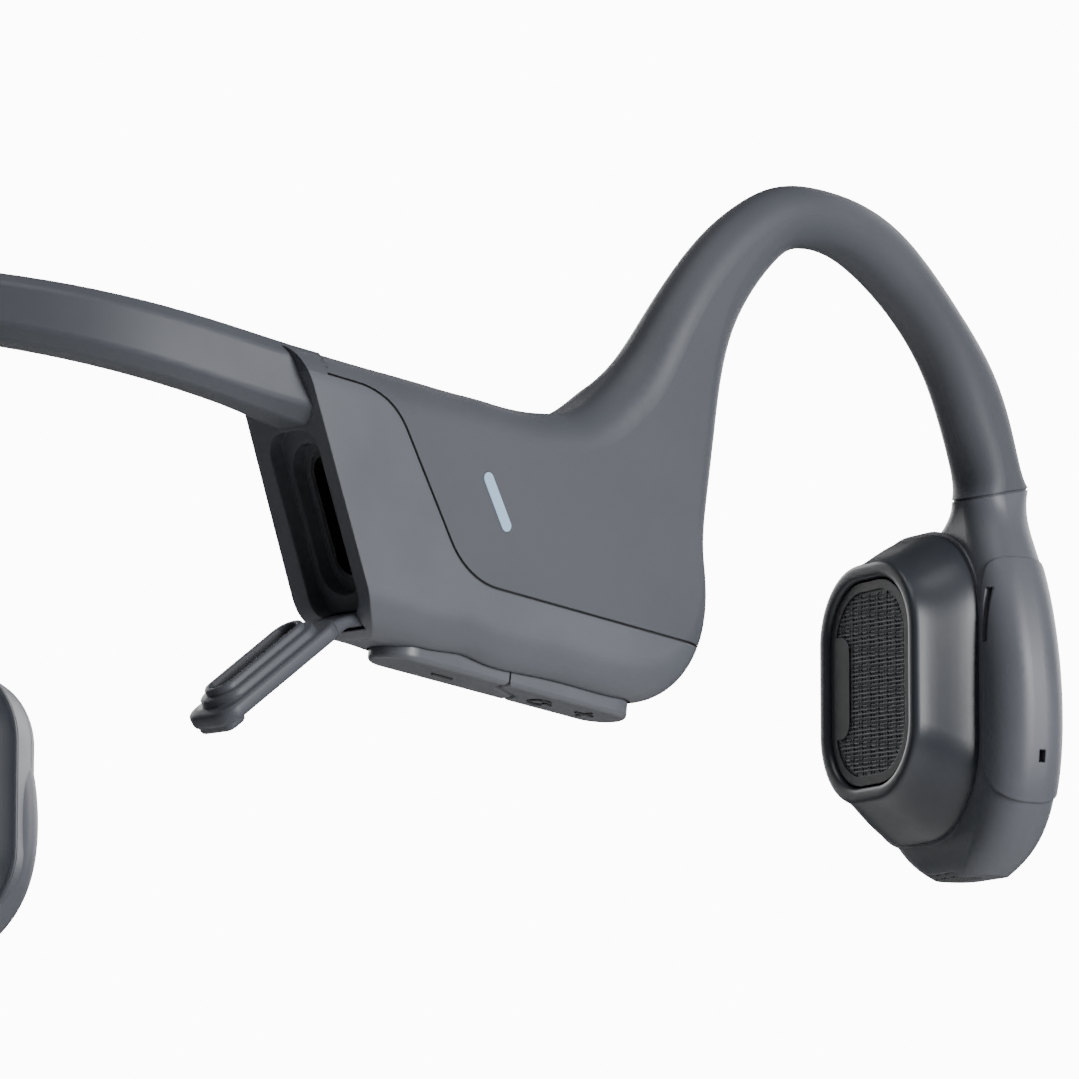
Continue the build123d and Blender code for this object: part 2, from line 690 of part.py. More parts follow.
def pod_sketch(level, sketch):
    """Moves a flat outline to a level of the pod, along the way that the pad faces."""
    return pod.offset(level) * sketch


to_pad = (PAD_ACROSS - seat_across, PAD_DOWN - seat_down)


def wire_sections(radius):
    """Sections of the wire, from the housing round the hook and into the pod."""
    sections = [hook_circle(line, radius) for line in housing_lines[-1:] + hook_lines]
    foot = pod.from_local_coords(Vector(0, -HOOK_WIRE_TAIL, -HOOK_BEHIND_PAD))
    with BuildSketch(Plane(origin=foot, x_dir=pad_facing * -1, z_dir=(0, 0, -1))) as section:
        Circle(radius)
    sections.append(section.sketch.face())
    return sections


with BuildPart() as hook_wire:
    loft(wire_sections(HOOK_WIRE / 2))

with BuildPart() as hook_wire_channel:
    loft(wire_sections(HOOK_WIRE / 2 + SEAT))


def mesh_outline(inset):
    """The ribbed mesh's outline in the pad, with its shallow bay on the inner side."""
    wide = PAD_WIDE - 2 * PAD_BORDER - 2 * inset
    tall = PAD_TALL - 2 * PAD_BORDER - 2 * inset
    with BuildSketch() as outline:
        with Locations((PAD_ACROSS, PAD_DOWN)):
            RectangleRounded(wide, tall, PAD_ROUND - PAD_BORDER - inset)
        with Locations((PAD_ACROSS - PAD_WIDE / 2 + PAD_BORDER, PAD_DOWN)):
            RectangleRounded(
                2 * (LABEL_WIDE + inset), LABEL_TALL + 2 * inset, 1.2, mode=Mode.SUBTRACT
            )
    return outline.sketch


# A raised panel down the pod's outer side, with a crease round it.
with BuildPart() as plateau:
    loft(pod_sections(-PLATEAU_RAISED))
    with BuildSketch(pod.offset(CLEAR)):
        with BuildLine():
            crease = FilletPolyline(
                (PLATEAU_ACROSS + CLEAR, PLATEAU_TOP),
                (PLATEAU_ACROSS, PLATEAU_TOP),
                (PLATEAU_ACROSS, PLATEAU_BOTTOM),
                (PLATEAU_ACROSS + CLEAR, PLATEAU_BOTTOM - CLEAR),
                radius=PLATEAU_ROUNDS,
            )
            Line(crease @ 1, crease @ 0)
        make_face()
    extrude(amount=-2 * CLEAR, mode=Mode.INTERSECT)

with BuildPart() as pod_body:
    loft(pod_sections())
    add(plateau.part)
    extrude(
        pod_sketch(-CUSHION_DEEP, pod_outline(seat_wide + 0.5, seat_tall + 0.5, seat_round + 0.2)),
        amount=-3.4,
        taper=12,
    )

# The fine groove between the hook's cover and the pod.
neck = cross_plane(end_top, end_bottom, arm_middle(end_top, end_bottom, end_thick))
with BuildPart() as neck_groove:
    with BuildSketch(neck):
        Circle(HOUSING_THICK)
    extrude(amount=-NECK_GROOVE)
    loft(pod_sections(NECK_GROOVE_DEEP), mode=Mode.SUBTRACT)

grille_middle = (room_back - CUSHION_DEEP) / 2 - 0.1


def grille_slot(grow):
    """Prism through the pod's underside, into the room above it."""
    top = seat_down - room_tall / 2 + GRILLE_WIDE
    level = pod.from_local_coords(Vector(GRILLE_ACROSS, top, grille_middle))
    with BuildSketch(Plane(origin=level, x_dir=across, z_dir=(0, 0, 1))) as slot:
        SlotOverall(GRILLE_LONG + 2 * grow, GRILLE_WIDE + 2 * grow)
    return extrude(slot.sketch, amount=-12, mode=Mode.PRIVATE)


lifted = pod_body.part.moved(Location((0, 0, GRILLE_THICK)))
with BuildPart() as bottom_grille:
    add(pod_body.part & grille_slot(0))
    add(lifted, mode=Mode.SUBTRACT)

yoke_front = -CUSHION_DEEP - 0.15
coil_back = room_back + TRANSDUCER_WALL + 1.2
pad_front = -PAD_SUNK
pad_back = pad_front - PAD_THICK

driver_down = seat_down - room_tall / 2 + DRIVER_TALL / 2 + 1.0
driver_front = room_back + DRIVER_DEEP
driver_room = (DRIVER_LONG - 2 * DRIVER_WALL, DRIVER_TALL - 2 * DRIVER_WALL)
driver_floor = room_back + DRIVER_WALL
vent_back = -CUSHION_DEEP - 2.4
mic_back = -POD_DEEP + 2.0
mic_front = mic_back + 1.2


def pod_box(place, size, back, front):
    """A block in the pod: its middle from the hook's end, its width and height, its levels."""
    with BuildSketch() as outline:
        with Locations(place):
            Rectangle(*size)
    return extrude(pod_sketch(back, outline.sketch), amount=front - back, mode=Mode.PRIVATE)


def pod_disc(radius, back, front):
    """A disc behind the pad, on the transducer's axis."""
    with BuildSketch() as outline:
        with Locations((PAD_ACROSS, PAD_DOWN + TRANSDUCER_UP)):
            Circle(radius)
    return extrude(pod_sketch(back, outline.sketch), amount=front - back, mode=Mode.PRIVATE)


vent_place = (VENT_ACROSS, VENT_DOWN)
vent_size = (VENT_WIDE, VENT_LONG)
mic_place = (MIC_ACROSS, MIC_DOWN)
mic_way_place = (MIC_ACROSS - 2.0, MIC_DOWN)
mic_way_size = (MIC_LONG + 4.0, MIC_TALL + 2 * SEAT)
mic_hole_place = (MIC_ACROSS + 3.5, MIC_DOWN)
mic_hole_size = (6.0, 0.9)
room = pod_outline(room_wide, room_tall, seat_round - POD_SIDE)
with BuildPart() as pod_shell:
    add(pod_body.part)
    extrude(pod_sketch(room_back, room), amount=-room_back + 1, mode=Mode.SUBTRACT)
    add(grille_slot(SEAT), mode=Mode.SUBTRACT)
    add(pod_box(vent_place, vent_size, vent_back, 0), mode=Mode.SUBTRACT)
    add(pod_box(mic_way_place, mic_way_size, mic_back, mic_front + 0.2), mode=Mode.SUBTRACT)
    add(pod_box(mic_hole_place, mic_hole_size, mic_back + 0.4, mic_back + 0.9), mode=Mode.SUBTRACT)
    add(hook_wire_channel.part, mode=Mode.SUBTRACT)
    add(neck_groove.part, mode=Mode.SUBTRACT)

with BuildPart() as vent_mesh:
    add(pod_box(vent_place, vent_size, vent_back, vent_back + 0.3))

with BuildPart() as microphone:
    add(pod_box(mic_place, (MIC_LONG, MIC_TALL), mic_back, mic_front))

with BuildPart() as transducer_yoke:
    add(pod_disc(TRANSDUCER / 2, room_back, yoke_front))
    add(pod_disc(COIL_OUT + 0.35, room_back + TRANSDUCER_WALL, yoke_front + 1), mode=Mode.SUBTRACT)

with BuildPart() as transducer_magnet:
    add(pod_disc(MAGNET_RADIUS, room_back + TRANSDUCER_WALL, yoke_front - 0.6))

with BuildPart() as suspension_spring:
    add(pod_disc(TRANSDUCER / 2 - 0.3, yoke_front, yoke_front + 0.12))
    add(pod_disc(COIL_OUT + 0.3, yoke_front - 1, yoke_front + 1), mode=Mode.SUBTRACT)

with BuildPart() as voice_coil:
    add(pod_disc(COIL_OUT, coil_back, pad_back))
    add(pod_disc(COIL_IN, coil_back - 1, pad_back + 1), mode=Mode.SUBTRACT)

driver_place = (DRIVER_ACROSS, driver_down)
with BuildPart() as air_driver_frame:
    add(pod_box(driver_place, (DRIVER_LONG, DRIVER_TALL), room_back, driver_front))
    add(pod_box(driver_place, driver_room, driver_floor, driver_front + 1), mode=Mode.SUBTRACT)

with BuildPart() as air_driver_magnet:
    magnet_size = (driver_room[0] - 2.2, driver_room[1] - 1.2)
    add(pod_box(driver_place, magnet_size, driver_floor, driver_floor + 0.9))

with BuildPart() as air_driver_diaphragm:
    sheet_size = (driver_room[0] - 2 * FIT, driver_room[1] - 2 * FIT)
    add(pod_box(driver_place, sheet_size, driver_front - 0.5, driver_front - 0.3))

pad_hole = pod_outline(PAD_WIDE + 2 * FIT, PAD_TALL + 2 * FIT, PAD_ROUND + FIT, to_pad)
rim = pod_outline(cushion_wide, cushion_tall, cushion_round, to_pad)
with BuildPart() as pod_cushion:
    loft(
        [
            pod_sketch(-CUSHION_DEEP, pod_outline(seat_wide, seat_tall, seat_round)).face(),
            pod_sketch(-CUSHION_DEEP * 0.45, pod_outline(
                cushion_wide + 0.5, cushion_tall + 0.8, cushion_round + 0.3, to_pad
            )).face(),
            pod_sketch(0, rim).face(),
        ],
        ruled=True,
    )
    extrude(pod_sketch(-CUSHION_DEEP - 1, pad_hole), amount=CUSHION_DEEP + 2, mode=Mode.SUBTRACT)
    add(pod_body.part, mode=Mode.SUBTRACT)
    fillet(pod_cushion.faces().sort_by(Axis(pod.origin, pod.z_dir))[-1].edges(), 0.35)

with BuildPart() as pad_frame:
    extrude(pod_sketch(pad_back, pod_outline(PAD_WIDE, PAD_TALL, PAD_ROUND, to_pad)), amount=PAD_THICK)
    extrude(pod_sketch(pad_front, mesh_outline(0)), amount=-PAD_POCKET, mode=Mode.SUBTRACT)

with BuildPart() as pad_mesh:
    extrude(pod_sketch(pad_front - PAD_POCKET, mesh_outline(SEAT)), amount=PAD_POCKET - 0.15)

# ---------------------------------------------------------------- left pod's button
control_hole_front = room_back - 0.35
control_switch_thick = 0.45
control_back = -POD_DEEP - CONTROL_PROUD
control_front = control_hole_front - control_switch_thick - CONTROL_TRAVEL - 0.05


def control_outline(grow):
    """The button's outline on the pod's outer side."""
    with BuildSketch() as outline:
        with Locations((CONTROL_ACROSS, CONTROL_DOWN)):
            SlotOverall(CONTROL_TALL + 2 * grow, CONTROL_WIDE + 2 * grow, rotation=90)
    return outline.sketch


with BuildPart() as multifunction_button:
    extrude(pod_sketch(control_front, control_outline(0)), amount=control_back - control_front)
    fillet(multifunction_button.faces().sort_by(Axis(pod.origin, pod.z_dir))[0].edges(), 0.3)

control_place = (CONTROL_ACROSS, CONTROL_DOWN)
control_switch_back = control_hole_front - control_switch_thick
with BuildPart() as multifunction_switch:
    add(pod_box(control_place, (SWITCH_SIZE, SWITCH_SIZE), control_switch_back, control_hole_front))

with BuildPart() as control_pod_shell:
    add(pod_shell.part)
    extrude(
        pod_sketch(control_hole_front, control_outline(FIT)),
        amount=-POD_DEEP - 2 - control_hole_front,
        mode=Mode.SUBTRACT,
    )

# ---------------------------------------------------------------- shells of the two arms
with BuildPart() as hook_cover_plain:
    add(arm_body.part)
    add(lower_side_and_seal.part, mode=Mode.SUBTRACT)
    add(behind_joint.part, mode=Mode.SUBTRACT)
    add(cavity.part, mode=Mode.SUBTRACT)
    add(hook_wire_channel.part, mode=Mode.SUBTRACT)
    add(band_channels.part, mode=Mode.SUBTRACT)

with BuildPart() as housing_shell_plain:
    add(arm_body.part & lower_side.part)
    add(behind_rear.part, mode=Mode.SUBTRACT)
    add(cavity.part, mode=Mode.SUBTRACT)
    add(band_channels.part, mode=Mode.SUBTRACT)

with BuildPart() as housing_seal:
    add(arm_core.part & lower_side_and_seal.part)
    add(lower_side.part, mode=Mode.SUBTRACT)
    add(behind_joint.part, mode=Mode.SUBTRACT)
    add(cavity.part, mode=Mode.SUBTRACT)
    add(band_channels.part, mode=Mode.SUBTRACT)
    add(hook_wire_channel.part, mode=Mode.SUBTRACT)

with BuildPart() as port_side_seal:
    add(housing_seal.part)
    add(port_hollow.part, mode=Mode.SUBTRACT)

with BuildPart() as hook_cover:
    add(hook_cover_plain.part)
    add(lamp_hollow.part, mode=Mode.SUBTRACT)
    add(port_hollow.part, mode=Mode.SUBTRACT)

with BuildPart() as housing_shell:
    add(housing_shell_plain.part)
    add(port_hollow.part, mode=Mode.SUBTRACT)
    add(port_cover_anchor.part, mode=Mode.SUBTRACT)
    add(key_hollow.part, mode=Mode.SUBTRACT)

# The root of the neckband's cover fills the top of each housing behind the joint.
with BuildPart() as band_root:
    add(arm_body.part & behind_joint.part)
    add(behind_rear.part, mode=Mode.SUBTRACT)
    add(lower_side.part, mode=Mode.SUBTRACT)

with BuildPart() as arm_without_root:
    add(arm_body.part)
    add(behind_rear.part, mode=Mode.SUBTRACT)
    add(band_root.part, mode=Mode.SUBTRACT)

with BuildPart() as neckband_cover:
    add(band_blank.part)
    add(band_root.part)
    mirror(band_root.part, about=Plane.YZ)
    add(arm_without_root.part, mode=Mode.SUBTRACT)
    mirror(arm_without_root.part, about=Plane.YZ, mode=Mode.SUBTRACT)
    add(band_channels.part, mode=Mode.SUBTRACT)
    add(port_hollow.part, mode=Mode.SUBTRACT)

# ---------------------------------------------------------------- battery side
with BuildPart() as battery_cell:
    with BuildSketch(arm.offset(key_middle - BATTERY_THICK / 2)):
        with Locations((BATTERY_MIDDLE, (cavity_floor + cavity_roof) / 2 + 1.2)):
            RectangleRounded(BATTERY_LONG, cavity_roof - cavity_floor - 3.2, 1.0)
    extrude(amount=BATTERY_THICK)

with BuildPart() as battery_board:
    with BuildSketch(arm.offset(key_middle - BATTERY_THICK / 2)):
        with Locations((BATTERY_MIDDLE, cavity_floor + FIT + BOARD_THICK / 2)):
            Rectangle(BATTERY_BOARD_LONG, BOARD_THICK)
    extrude(amount=BATTERY_THICK)

# ---------------------------------------------------------------- finished pieces
only_once = {
    "neckband_wire": neckband_wire,
    "neckband_cable": neckband_cable,
    "neckband_cover": neckband_cover,
    "main_board": main_board,
    "key_board": key_board,
    "usb_receptacle": usb_receptacle,
    "usb_tongue": usb_tongue,
    "port_cover_anchor": port_cover_anchor,
    "port_cover": port_cover_open,
    "led_light_pipe": led_light_pipe,
    "volume_down_button": volume_down_button,
    "volume_up_button": volume_up_button,
    "right_hook_cover": hook_cover,
    "right_housing_seal": port_side_seal,
    "right_housing_shell": housing_shell,
    "right_pod_shell": pod_shell,
}
for name, builder in only_once.items():
    keep(builder, name)

on_both_sides = {
    "hook_wire": hook_wire,
    "pod_cushion": pod_cushion,
    "pad_frame": pad_frame,
    "pad_mesh": pad_mesh,
    "transducer_yoke": transducer_yoke,
    "transducer_magnet": transducer_magnet,
    "suspension_spring": suspension_spring,
    "voice_coil": voice_coil,
    "air_driver_frame": air_driver_frame,
    "air_driver_magnet": air_driver_magnet,
    "air_driver_diaphragm": air_driver_diaphragm,
    "bottom_grille": bottom_grille,
    "vent_mesh": vent_mesh,
    "microphone": microphone,
}
for name, builder in on_both_sides.items():
    keep_mirrored(builder, "left_" + name)
    keep(builder, "right_" + name)

only_left = {
    "left_hook_cover": hook_cover_plain,
    "left_housing_seal": housing_seal,
    "left_housing_shell": housing_shell_plain,
    "left_pod_shell": control_pod_shell,
    "multifunction_button": multifunction_button,
    "multifunction_switch": multifunction_switch,
    "battery_cell": battery_cell,
    "battery_board": battery_board,
}
for name, builder in only_left.items():
    keep_mirrored(builder, name)

# The origin is the middle of the underside of the whole object.
boxes = [piece.bounding_box() for piece in finished]
middle_y = (min(box.min.Y for box in boxes) + max(box.max.Y for box in boxes)) / 2
to_origin = Vector(0, -middle_y, -min(box.min.Z for box in boxes))

for piece in finished:
    placed = piece.moved(Location(to_origin))
    placed.label = piece.label
    export_step(placed, f"parts/{piece.label}.step")
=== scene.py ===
import json
from math import cos, pi, radians, sin, sqrt

import bmesh
import bpy
from bpy.props import FloatProperty, FloatVectorProperty, IntProperty, PointerProperty
from mathutils import Matrix, Vector


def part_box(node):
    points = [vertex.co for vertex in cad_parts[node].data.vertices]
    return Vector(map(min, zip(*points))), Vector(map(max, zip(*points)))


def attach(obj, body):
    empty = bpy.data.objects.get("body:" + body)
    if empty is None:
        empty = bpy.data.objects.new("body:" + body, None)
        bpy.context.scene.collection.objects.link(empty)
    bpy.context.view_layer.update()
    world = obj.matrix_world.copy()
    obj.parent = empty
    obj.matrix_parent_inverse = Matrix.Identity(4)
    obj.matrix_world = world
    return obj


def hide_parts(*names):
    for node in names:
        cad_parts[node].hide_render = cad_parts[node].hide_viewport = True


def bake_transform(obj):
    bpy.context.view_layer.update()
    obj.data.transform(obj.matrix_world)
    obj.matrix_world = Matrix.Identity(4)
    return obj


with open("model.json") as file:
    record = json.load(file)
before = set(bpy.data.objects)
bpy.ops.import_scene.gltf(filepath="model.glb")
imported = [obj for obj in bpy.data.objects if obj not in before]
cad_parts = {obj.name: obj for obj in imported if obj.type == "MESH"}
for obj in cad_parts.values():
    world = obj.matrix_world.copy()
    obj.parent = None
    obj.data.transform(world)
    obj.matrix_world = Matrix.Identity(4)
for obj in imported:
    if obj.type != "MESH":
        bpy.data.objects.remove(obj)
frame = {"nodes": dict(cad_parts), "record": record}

bl_info = {
    "name": "Bone conduction headphones",
    "version": (1, 0, 0),
    "blender": (4, 5, 0),
    "location": "3D View > Sidebar > Headphones",
    "description": "Builds the soft pieces, finishes and stage of a pair of bone conduction headphones",
    "category": "Object",
}

MM = 0.001
SEAT_SHIFT_IN = 0.4 * MM  # centre of a cushion's seat from the pad's centre, towards the head
SEAT_SHIFT_UP = -0.3 * MM
RIM_CORNER = 5.55 * MM
PLATE_TO_RIM = 1.1 * MM  # from the middle of the pad plate to the rim of its cushion
PLATE_TO_MESH = 0.62 * MM  # from the middle of the pad plate to the mesh's outer side
PAD_CORNER = 4.4 * MM
PAD_BORDER = 0.85 * MM  # plain edge round the mesh
BAY_DEEP, BAY_TALL, BAY_SLOPE = 1.9 * MM, 7.6 * MM, 1.3 * MM
RIB_SLANT = 0.035
RIB_RADIUS = 0.085 * MM
WIRE_RADIUS = 0.05 * MM
WIRE_SUNK = 0.03 * MM
WIRE_CLEAR = 3.2 * MM  # half height of the bay that the cross wires keep clear of
COVER_REACH = 1.05 * MM  # from the port cover's hinge to its plate
COVER_BACK = 0.35 * MM
TAB_FROM_TIP = 1.2 * MM
MARK_STROKE = 0.13 * MM
CAMERA_SIDE = 46.0  # degrees from straight out of the right housing, towards the back
CAMERA_BELOW = 8.0  # degrees below level
CAMERA_AWAY = 0.48
CAMERA_SENSOR, CAMERA_LENS = 36.0, 235.4
LOOK_AT = (-0.063, 0.0013, 0.0196)  # outer face of the right housing
FLOOR_DROP = 0.45
FLOOR_HALF = 20.0
SIDES = ("right", "left")
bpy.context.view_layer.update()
record = frame["record"]
joints = {joint["name"]: joint for joint in record["behaviour"]["joints"]}
mounts = {mount["name"]: mount for mount in record["mounts"]}
slot_of = {part["node"]: part["material_slot"] for part in record["subparts"]}


# ---------------------------------------------------------------- places taken from the frame
def axes_matrix(origin, x_axis, y_axis, z_axis):
    """Matrix of a local frame from its origin and its three unit axes."""
    matrix = Matrix((x_axis, y_axis, z_axis)).transposed().to_4x4()
    matrix.translation = origin
    return matrix


def middle(node):
    """Middle of a CAD node's box."""
    low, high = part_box(node)
    return (Vector(low) + Vector(high)) / 2


def pad_frame(side):
    """Local frame in the middle of a pad's plate: x across, y up, z out of the pad."""
    facing = Vector(joints[side + "_pad_vibration"]["axis"]).normalized()
    up = Vector((0, 0, 1))
    across = up.cross(facing)
    return axes_matrix(middle(side + "_pad_frame"), across, up, facing)


outward = Vector(joints["port_cover_hinge"]["axis"]).normalized()
arm_up = Vector(joints["volume_down_press"]["axis"]).normalized()
arm_forward = arm_up.cross(outward)
hinge_place = Vector(joints["port_cover_hinge"]["pos_m"])
port_out = Vector(mounts["usb_c_socket"]["axis"]).normalized()


# ---------------------------------------------------------------- sizes and colours
class HeadphoneSizes(bpy.types.PropertyGroup):
    """Sizes of the pieces that are made here."""

    seat_wide: FloatProperty(
        name="Cushion seat width", description="Width of a cushion where it meets its pod",
        default=16.7 * MM, unit="LENGTH",
    )
    seat_tall: FloatProperty(
        name="Cushion seat height", description="Height of a cushion where it meets its pod",
        default=22.7 * MM, unit="LENGTH",
    )
    rim_wide: FloatProperty(
        name="Rim width", description="Outer width of the rim round a pad",
        default=13.8 * MM, unit="LENGTH",
    )
    rim_tall: FloatProperty(
        name="Rim height", description="Outer height of the rim round a pad",
        default=17.6 * MM, unit="LENGTH",
    )
    rim_lip: FloatProperty(
        name="Rim lip", description="Width of the rim itself", default=1.15 * MM, unit="LENGTH",
    )
    cushion_deep: FloatProperty(
        name="Cushion depth", description="From the pod to the rim", default=4.8 * MM, unit="LENGTH",
    )
    pad_wide: FloatProperty(
        name="Pad width", description="Width of the pad plate", default=11.2 * MM, unit="LENGTH",
    )
    pad_tall: FloatProperty(
        name="Pad height", description="Height of the pad plate", default=15.0 * MM, unit="LENGTH",
    )
    rib_pitch: FloatProperty(
        name="Rib pitch", description="Distance between the ribs of the mesh on a pad",
        default=0.3 * MM, unit="LENGTH",
    )
    cover_long: FloatProperty(
        name="Port cover length", description="Length of the port cover's plate",
        default=12.3 * MM, unit="LENGTH",
    )
    cover_wide: FloatProperty(
        name="Port cover width", description="Width of the port cover's plate",
        default=4.7 * MM, unit="LENGTH",
    )
    cover_thick: FloatProperty(
        name="Port cover thickness", description="Thickness of the port cover's plate",
        default=1.1 * MM, unit="LENGTH",
    )
    ring_steps: IntProperty(
        name="Steps round", description="Points round a lofted piece, a multiple of four",
        default=96, min=16,
    )


def colour(name, description, default):
    """Colour property, in linear light."""
    return FloatVectorProperty(
        name=name, description=description, default=default, size=3, subtype="COLOR", min=0, max=1,
    )


class HeadphoneColours(bpy.types.PropertyGroup):
    """Colours of the finishes, in linear light."""

    skin: colour("Skin", "Silicone skin of the neckband and hooks", (0.078, 0.084, 0.100))
    shell: colour("Shell", "Satin shells of the housings and pods", (0.115, 0.122, 0.142))
    cushion: colour("Cushion", "Silicone round the pads", (0.035, 0.040, 0.051))
    pad: colour("Pad", "Moulded plate of the pads", (0.028, 0.030, 0.034))
    ribs: colour("Ribs", "Ribbed mesh of the pads", (0.105, 0.115, 0.123))
    keys: colour("Keys", "Moulded keys", (0.118, 0.125, 0.143))
    dark: colour("Dark", "Black mouldings and seals", (0.010, 0.011, 0.012))
    lamp: colour("Lamp", "Light window", (0.34, 0.49, 0.66))


def sizes():
    return bpy.context.scene.headphone_sizes


def colours():
    return bpy.context.scene.headphone_colours


# ---------------------------------------------------------------- shared node groups
def add_node(tree, kind, **values):
    """Adds a node and sets its properties and unlinked inputs."""
    node = tree.nodes.new(kind)
    for key, value in values.items():
        if key in node.inputs:
            node.inputs[key].default_value = value
        else:
            setattr(node, key, value)
    return node


def new_group(name, inputs, outputs):
    """Empty shader node group with named float or colour sockets."""
    group = bpy.data.node_groups.new(name, "ShaderNodeTree")
    for label, kind, default in inputs:
        socket = group.interface.new_socket(label, in_out="INPUT", socket_type=kind)
        socket.default_value = default
    for label, kind in outputs:
        group.interface.new_socket(label, in_out="OUTPUT", socket_type=kind)
    start = group.nodes.new("NodeGroupInput")
    end = group.nodes.new("NodeGroupOutput")
    return group, start, end


def moulded_grain_group():
    """Fine spark-erosion grain with slow colour drift, as on satin mouldings and silicone."""
    group, start, end = new_group(
        "Moulded grain",
        [
            ("Colour", "NodeSocketColor", (0.1, 0.1, 0.1, 1)),
            ("Scale", "NodeSocketFloat", 9000.0),
            ("Drift", "NodeSocketFloat", 0.06),
            ("Roughness", "NodeSocketFloat", 0.5),
            ("Roughness spread", "NodeSocketFloat", 0.08),
        ],
        [("Colour", "NodeSocketColor"), ("Roughness", "NodeSocketFloat"), ("Height", "NodeSocketFloat")],
    )
    links = group.links
    place = add_node(group, "ShaderNodeTexCoord")
    grain = add_node(group, "ShaderNodeTexNoise", Detail=3.0)
    links.new(place.outputs["Object"], grain.inputs["Vector"])
    links.new(start.outputs["Scale"], grain.inputs["Scale"])
    clouds = add_node(group, "ShaderNodeTexNoise", Scale=90.0, Detail=4.0)
    links.new(place.outputs["Object"], clouds.inputs["Vector"])
    smudge = add_node(group, "ShaderNodeMapRange")
    smudge.inputs["From Min"].default_value = 0.3
    smudge.inputs["From Max"].default_value = 0.7
    smudge.inputs["To Min"].default_value = -1.0
    smudge.inputs["To Max"].default_value = 1.0
    links.new(clouds.outputs["Fac"], smudge.inputs["Value"])
    drift = add_node(group, "ShaderNodeMath", operation="MULTIPLY_ADD")
    drift.inputs[2].default_value = 1.0
    links.new(smudge.outputs["Result"], drift.inputs[0])
    links.new(start.outputs["Drift"], drift.inputs[1])
    tint = add_node(group, "ShaderNodeVectorMath", operation="SCALE")
    links.new(start.outputs["Colour"], tint.inputs[0])
    links.new(drift.outputs[0], tint.inputs["Scale"])
    links.new(tint.outputs["Vector"], end.inputs["Colour"])
    rough = add_node(group, "ShaderNodeMath", operation="MULTIPLY_ADD")
    links.new(smudge.outputs["Result"], rough.inputs[0])
    links.new(start.outputs["Roughness spread"], rough.inputs[1])
    links.new(start.outputs["Roughness"], rough.inputs[2])
    links.new(rough.outputs[0], end.inputs["Roughness"])
    links.new(grain.outputs["Fac"], end.inputs["Height"])
    return group


def brushed_group():
    """Fine straight scratches along one axis, for drawn and pressed metal."""
    group, start, end = new_group(
        "Brushed metal",
        [
            ("Colour", "NodeSocketColor", (0.5, 0.5, 0.5, 1)),
            ("Roughness", "NodeSocketFloat", 0.35),
            ("Scale", "NodeSocketFloat", 2500.0),
        ],
        [("Colour", "NodeSocketColor"), ("Roughness", "NodeSocketFloat"), ("Height", "NodeSocketFloat")],
    )
    links = group.links
    place = add_node(group, "ShaderNodeTexCoord")
    stretch = add_node(group, "ShaderNodeMapping")
    stretch.inputs["Scale"].default_value = (1.0, 1.0, 0.06)
    links.new(place.outputs["Object"], stretch.inputs["Vector"])
    lines = add_node(group, "ShaderNodeTexNoise", Detail=4.0)
    links.new(stretch.outputs["Vector"], lines.inputs["Vector"])
    links.new(start.outputs["Scale"], lines.inputs["Scale"])
    tone = add_node(group, "ShaderNodeMath", operation="MULTIPLY_ADD")
    tone.inputs[1].default_value = 0.3
    tone.inputs[2].default_value = 0.85
    links.new(lines.outputs["Fac"], tone.inputs[0])
    tint = add_node(group, "ShaderNodeVectorMath", operation="SCALE")
    links.new(start.outputs["Colour"], tint.inputs[0])
    links.new(tone.outputs[0], tint.inputs["Scale"])
    links.new(tint.outputs["Vector"], end.inputs["Colour"])
    rough = add_node(group, "ShaderNodeMath", operation="MULTIPLY_ADD")
    rough.inputs[1].default_value = 0.25
    links.new(lines.outputs["Fac"], rough.inputs[0])
    links.new(start.outputs["Roughness"], rough.inputs[2])
    links.new(rough.outputs[0], end.inputs["Roughness"])
    links.new(lines.outputs["Fac"], end.inputs["Height"])
    return group


def perforation_group():
    """Rows of small round holes: a mask that darkens each hole with painted shade, and a height."""
    group, start, end = new_group(
        "Perforation",
        [
            ("Colour", "NodeSocketColor", (0.05, 0.05, 0.05, 1)),
            ("Pitch scale", "NodeSocketFloat", 1800.0),
        ],
        [("Colour", "NodeSocketColor"), ("Roughness", "NodeSocketFloat"), ("Height", "NodeSocketFloat")],
    )
    links = group.links
    place = add_node(group, "ShaderNodeTexCoord")
    holes = add_node(group, "ShaderNodeTexVoronoi", Randomness=0.0)
    links.new(place.outputs["Object"], holes.inputs["Vector"])
    links.new(start.outputs["Pitch scale"], holes.inputs["Scale"])
    hole_shade_mask = add_node(group, "ShaderNodeMapRange")
    hole_shade_mask.inputs["From Min"].default_value = 0.28
    hole_shade_mask.inputs["From Max"].default_value = 0.42
    links.new(holes.outputs["Distance"], hole_shade_mask.inputs["Value"])
    # The colour falls to black inside each hole: painted shade standing in for the depth of the hole.
    tint = add_node(group, "ShaderNodeVectorMath", operation="SCALE")
    links.new(start.outputs["Colour"], tint.inputs[0])
    links.new(hole_shade_mask.outputs["Result"], tint.inputs["Scale"])
    links.new(tint.outputs["Vector"], end.inputs["Colour"])
    rough = add_node(group, "ShaderNodeMath", operation="MULTIPLY_ADD")
    rough.inputs[1].default_value = -0.4
    rough.inputs[2].default_value = 0.85
    links.new(hole_shade_mask.outputs["Result"], rough.inputs[0])
    links.new(rough.outputs[0], end.inputs["Roughness"])
    links.new(hole_shade_mask.outputs["Result"], end.inputs["Height"])
    return group


GROUP_MAKERS = {
    "Moulded grain": moulded_grain_group,
    "Brushed metal": brushed_group,
    "Perforation": perforation_group,
}


def shared_group(name):
    """A shared node group, built the first time that it is asked for."""
    return bpy.data.node_groups.get(name) or GROUP_MAKERS[name]()


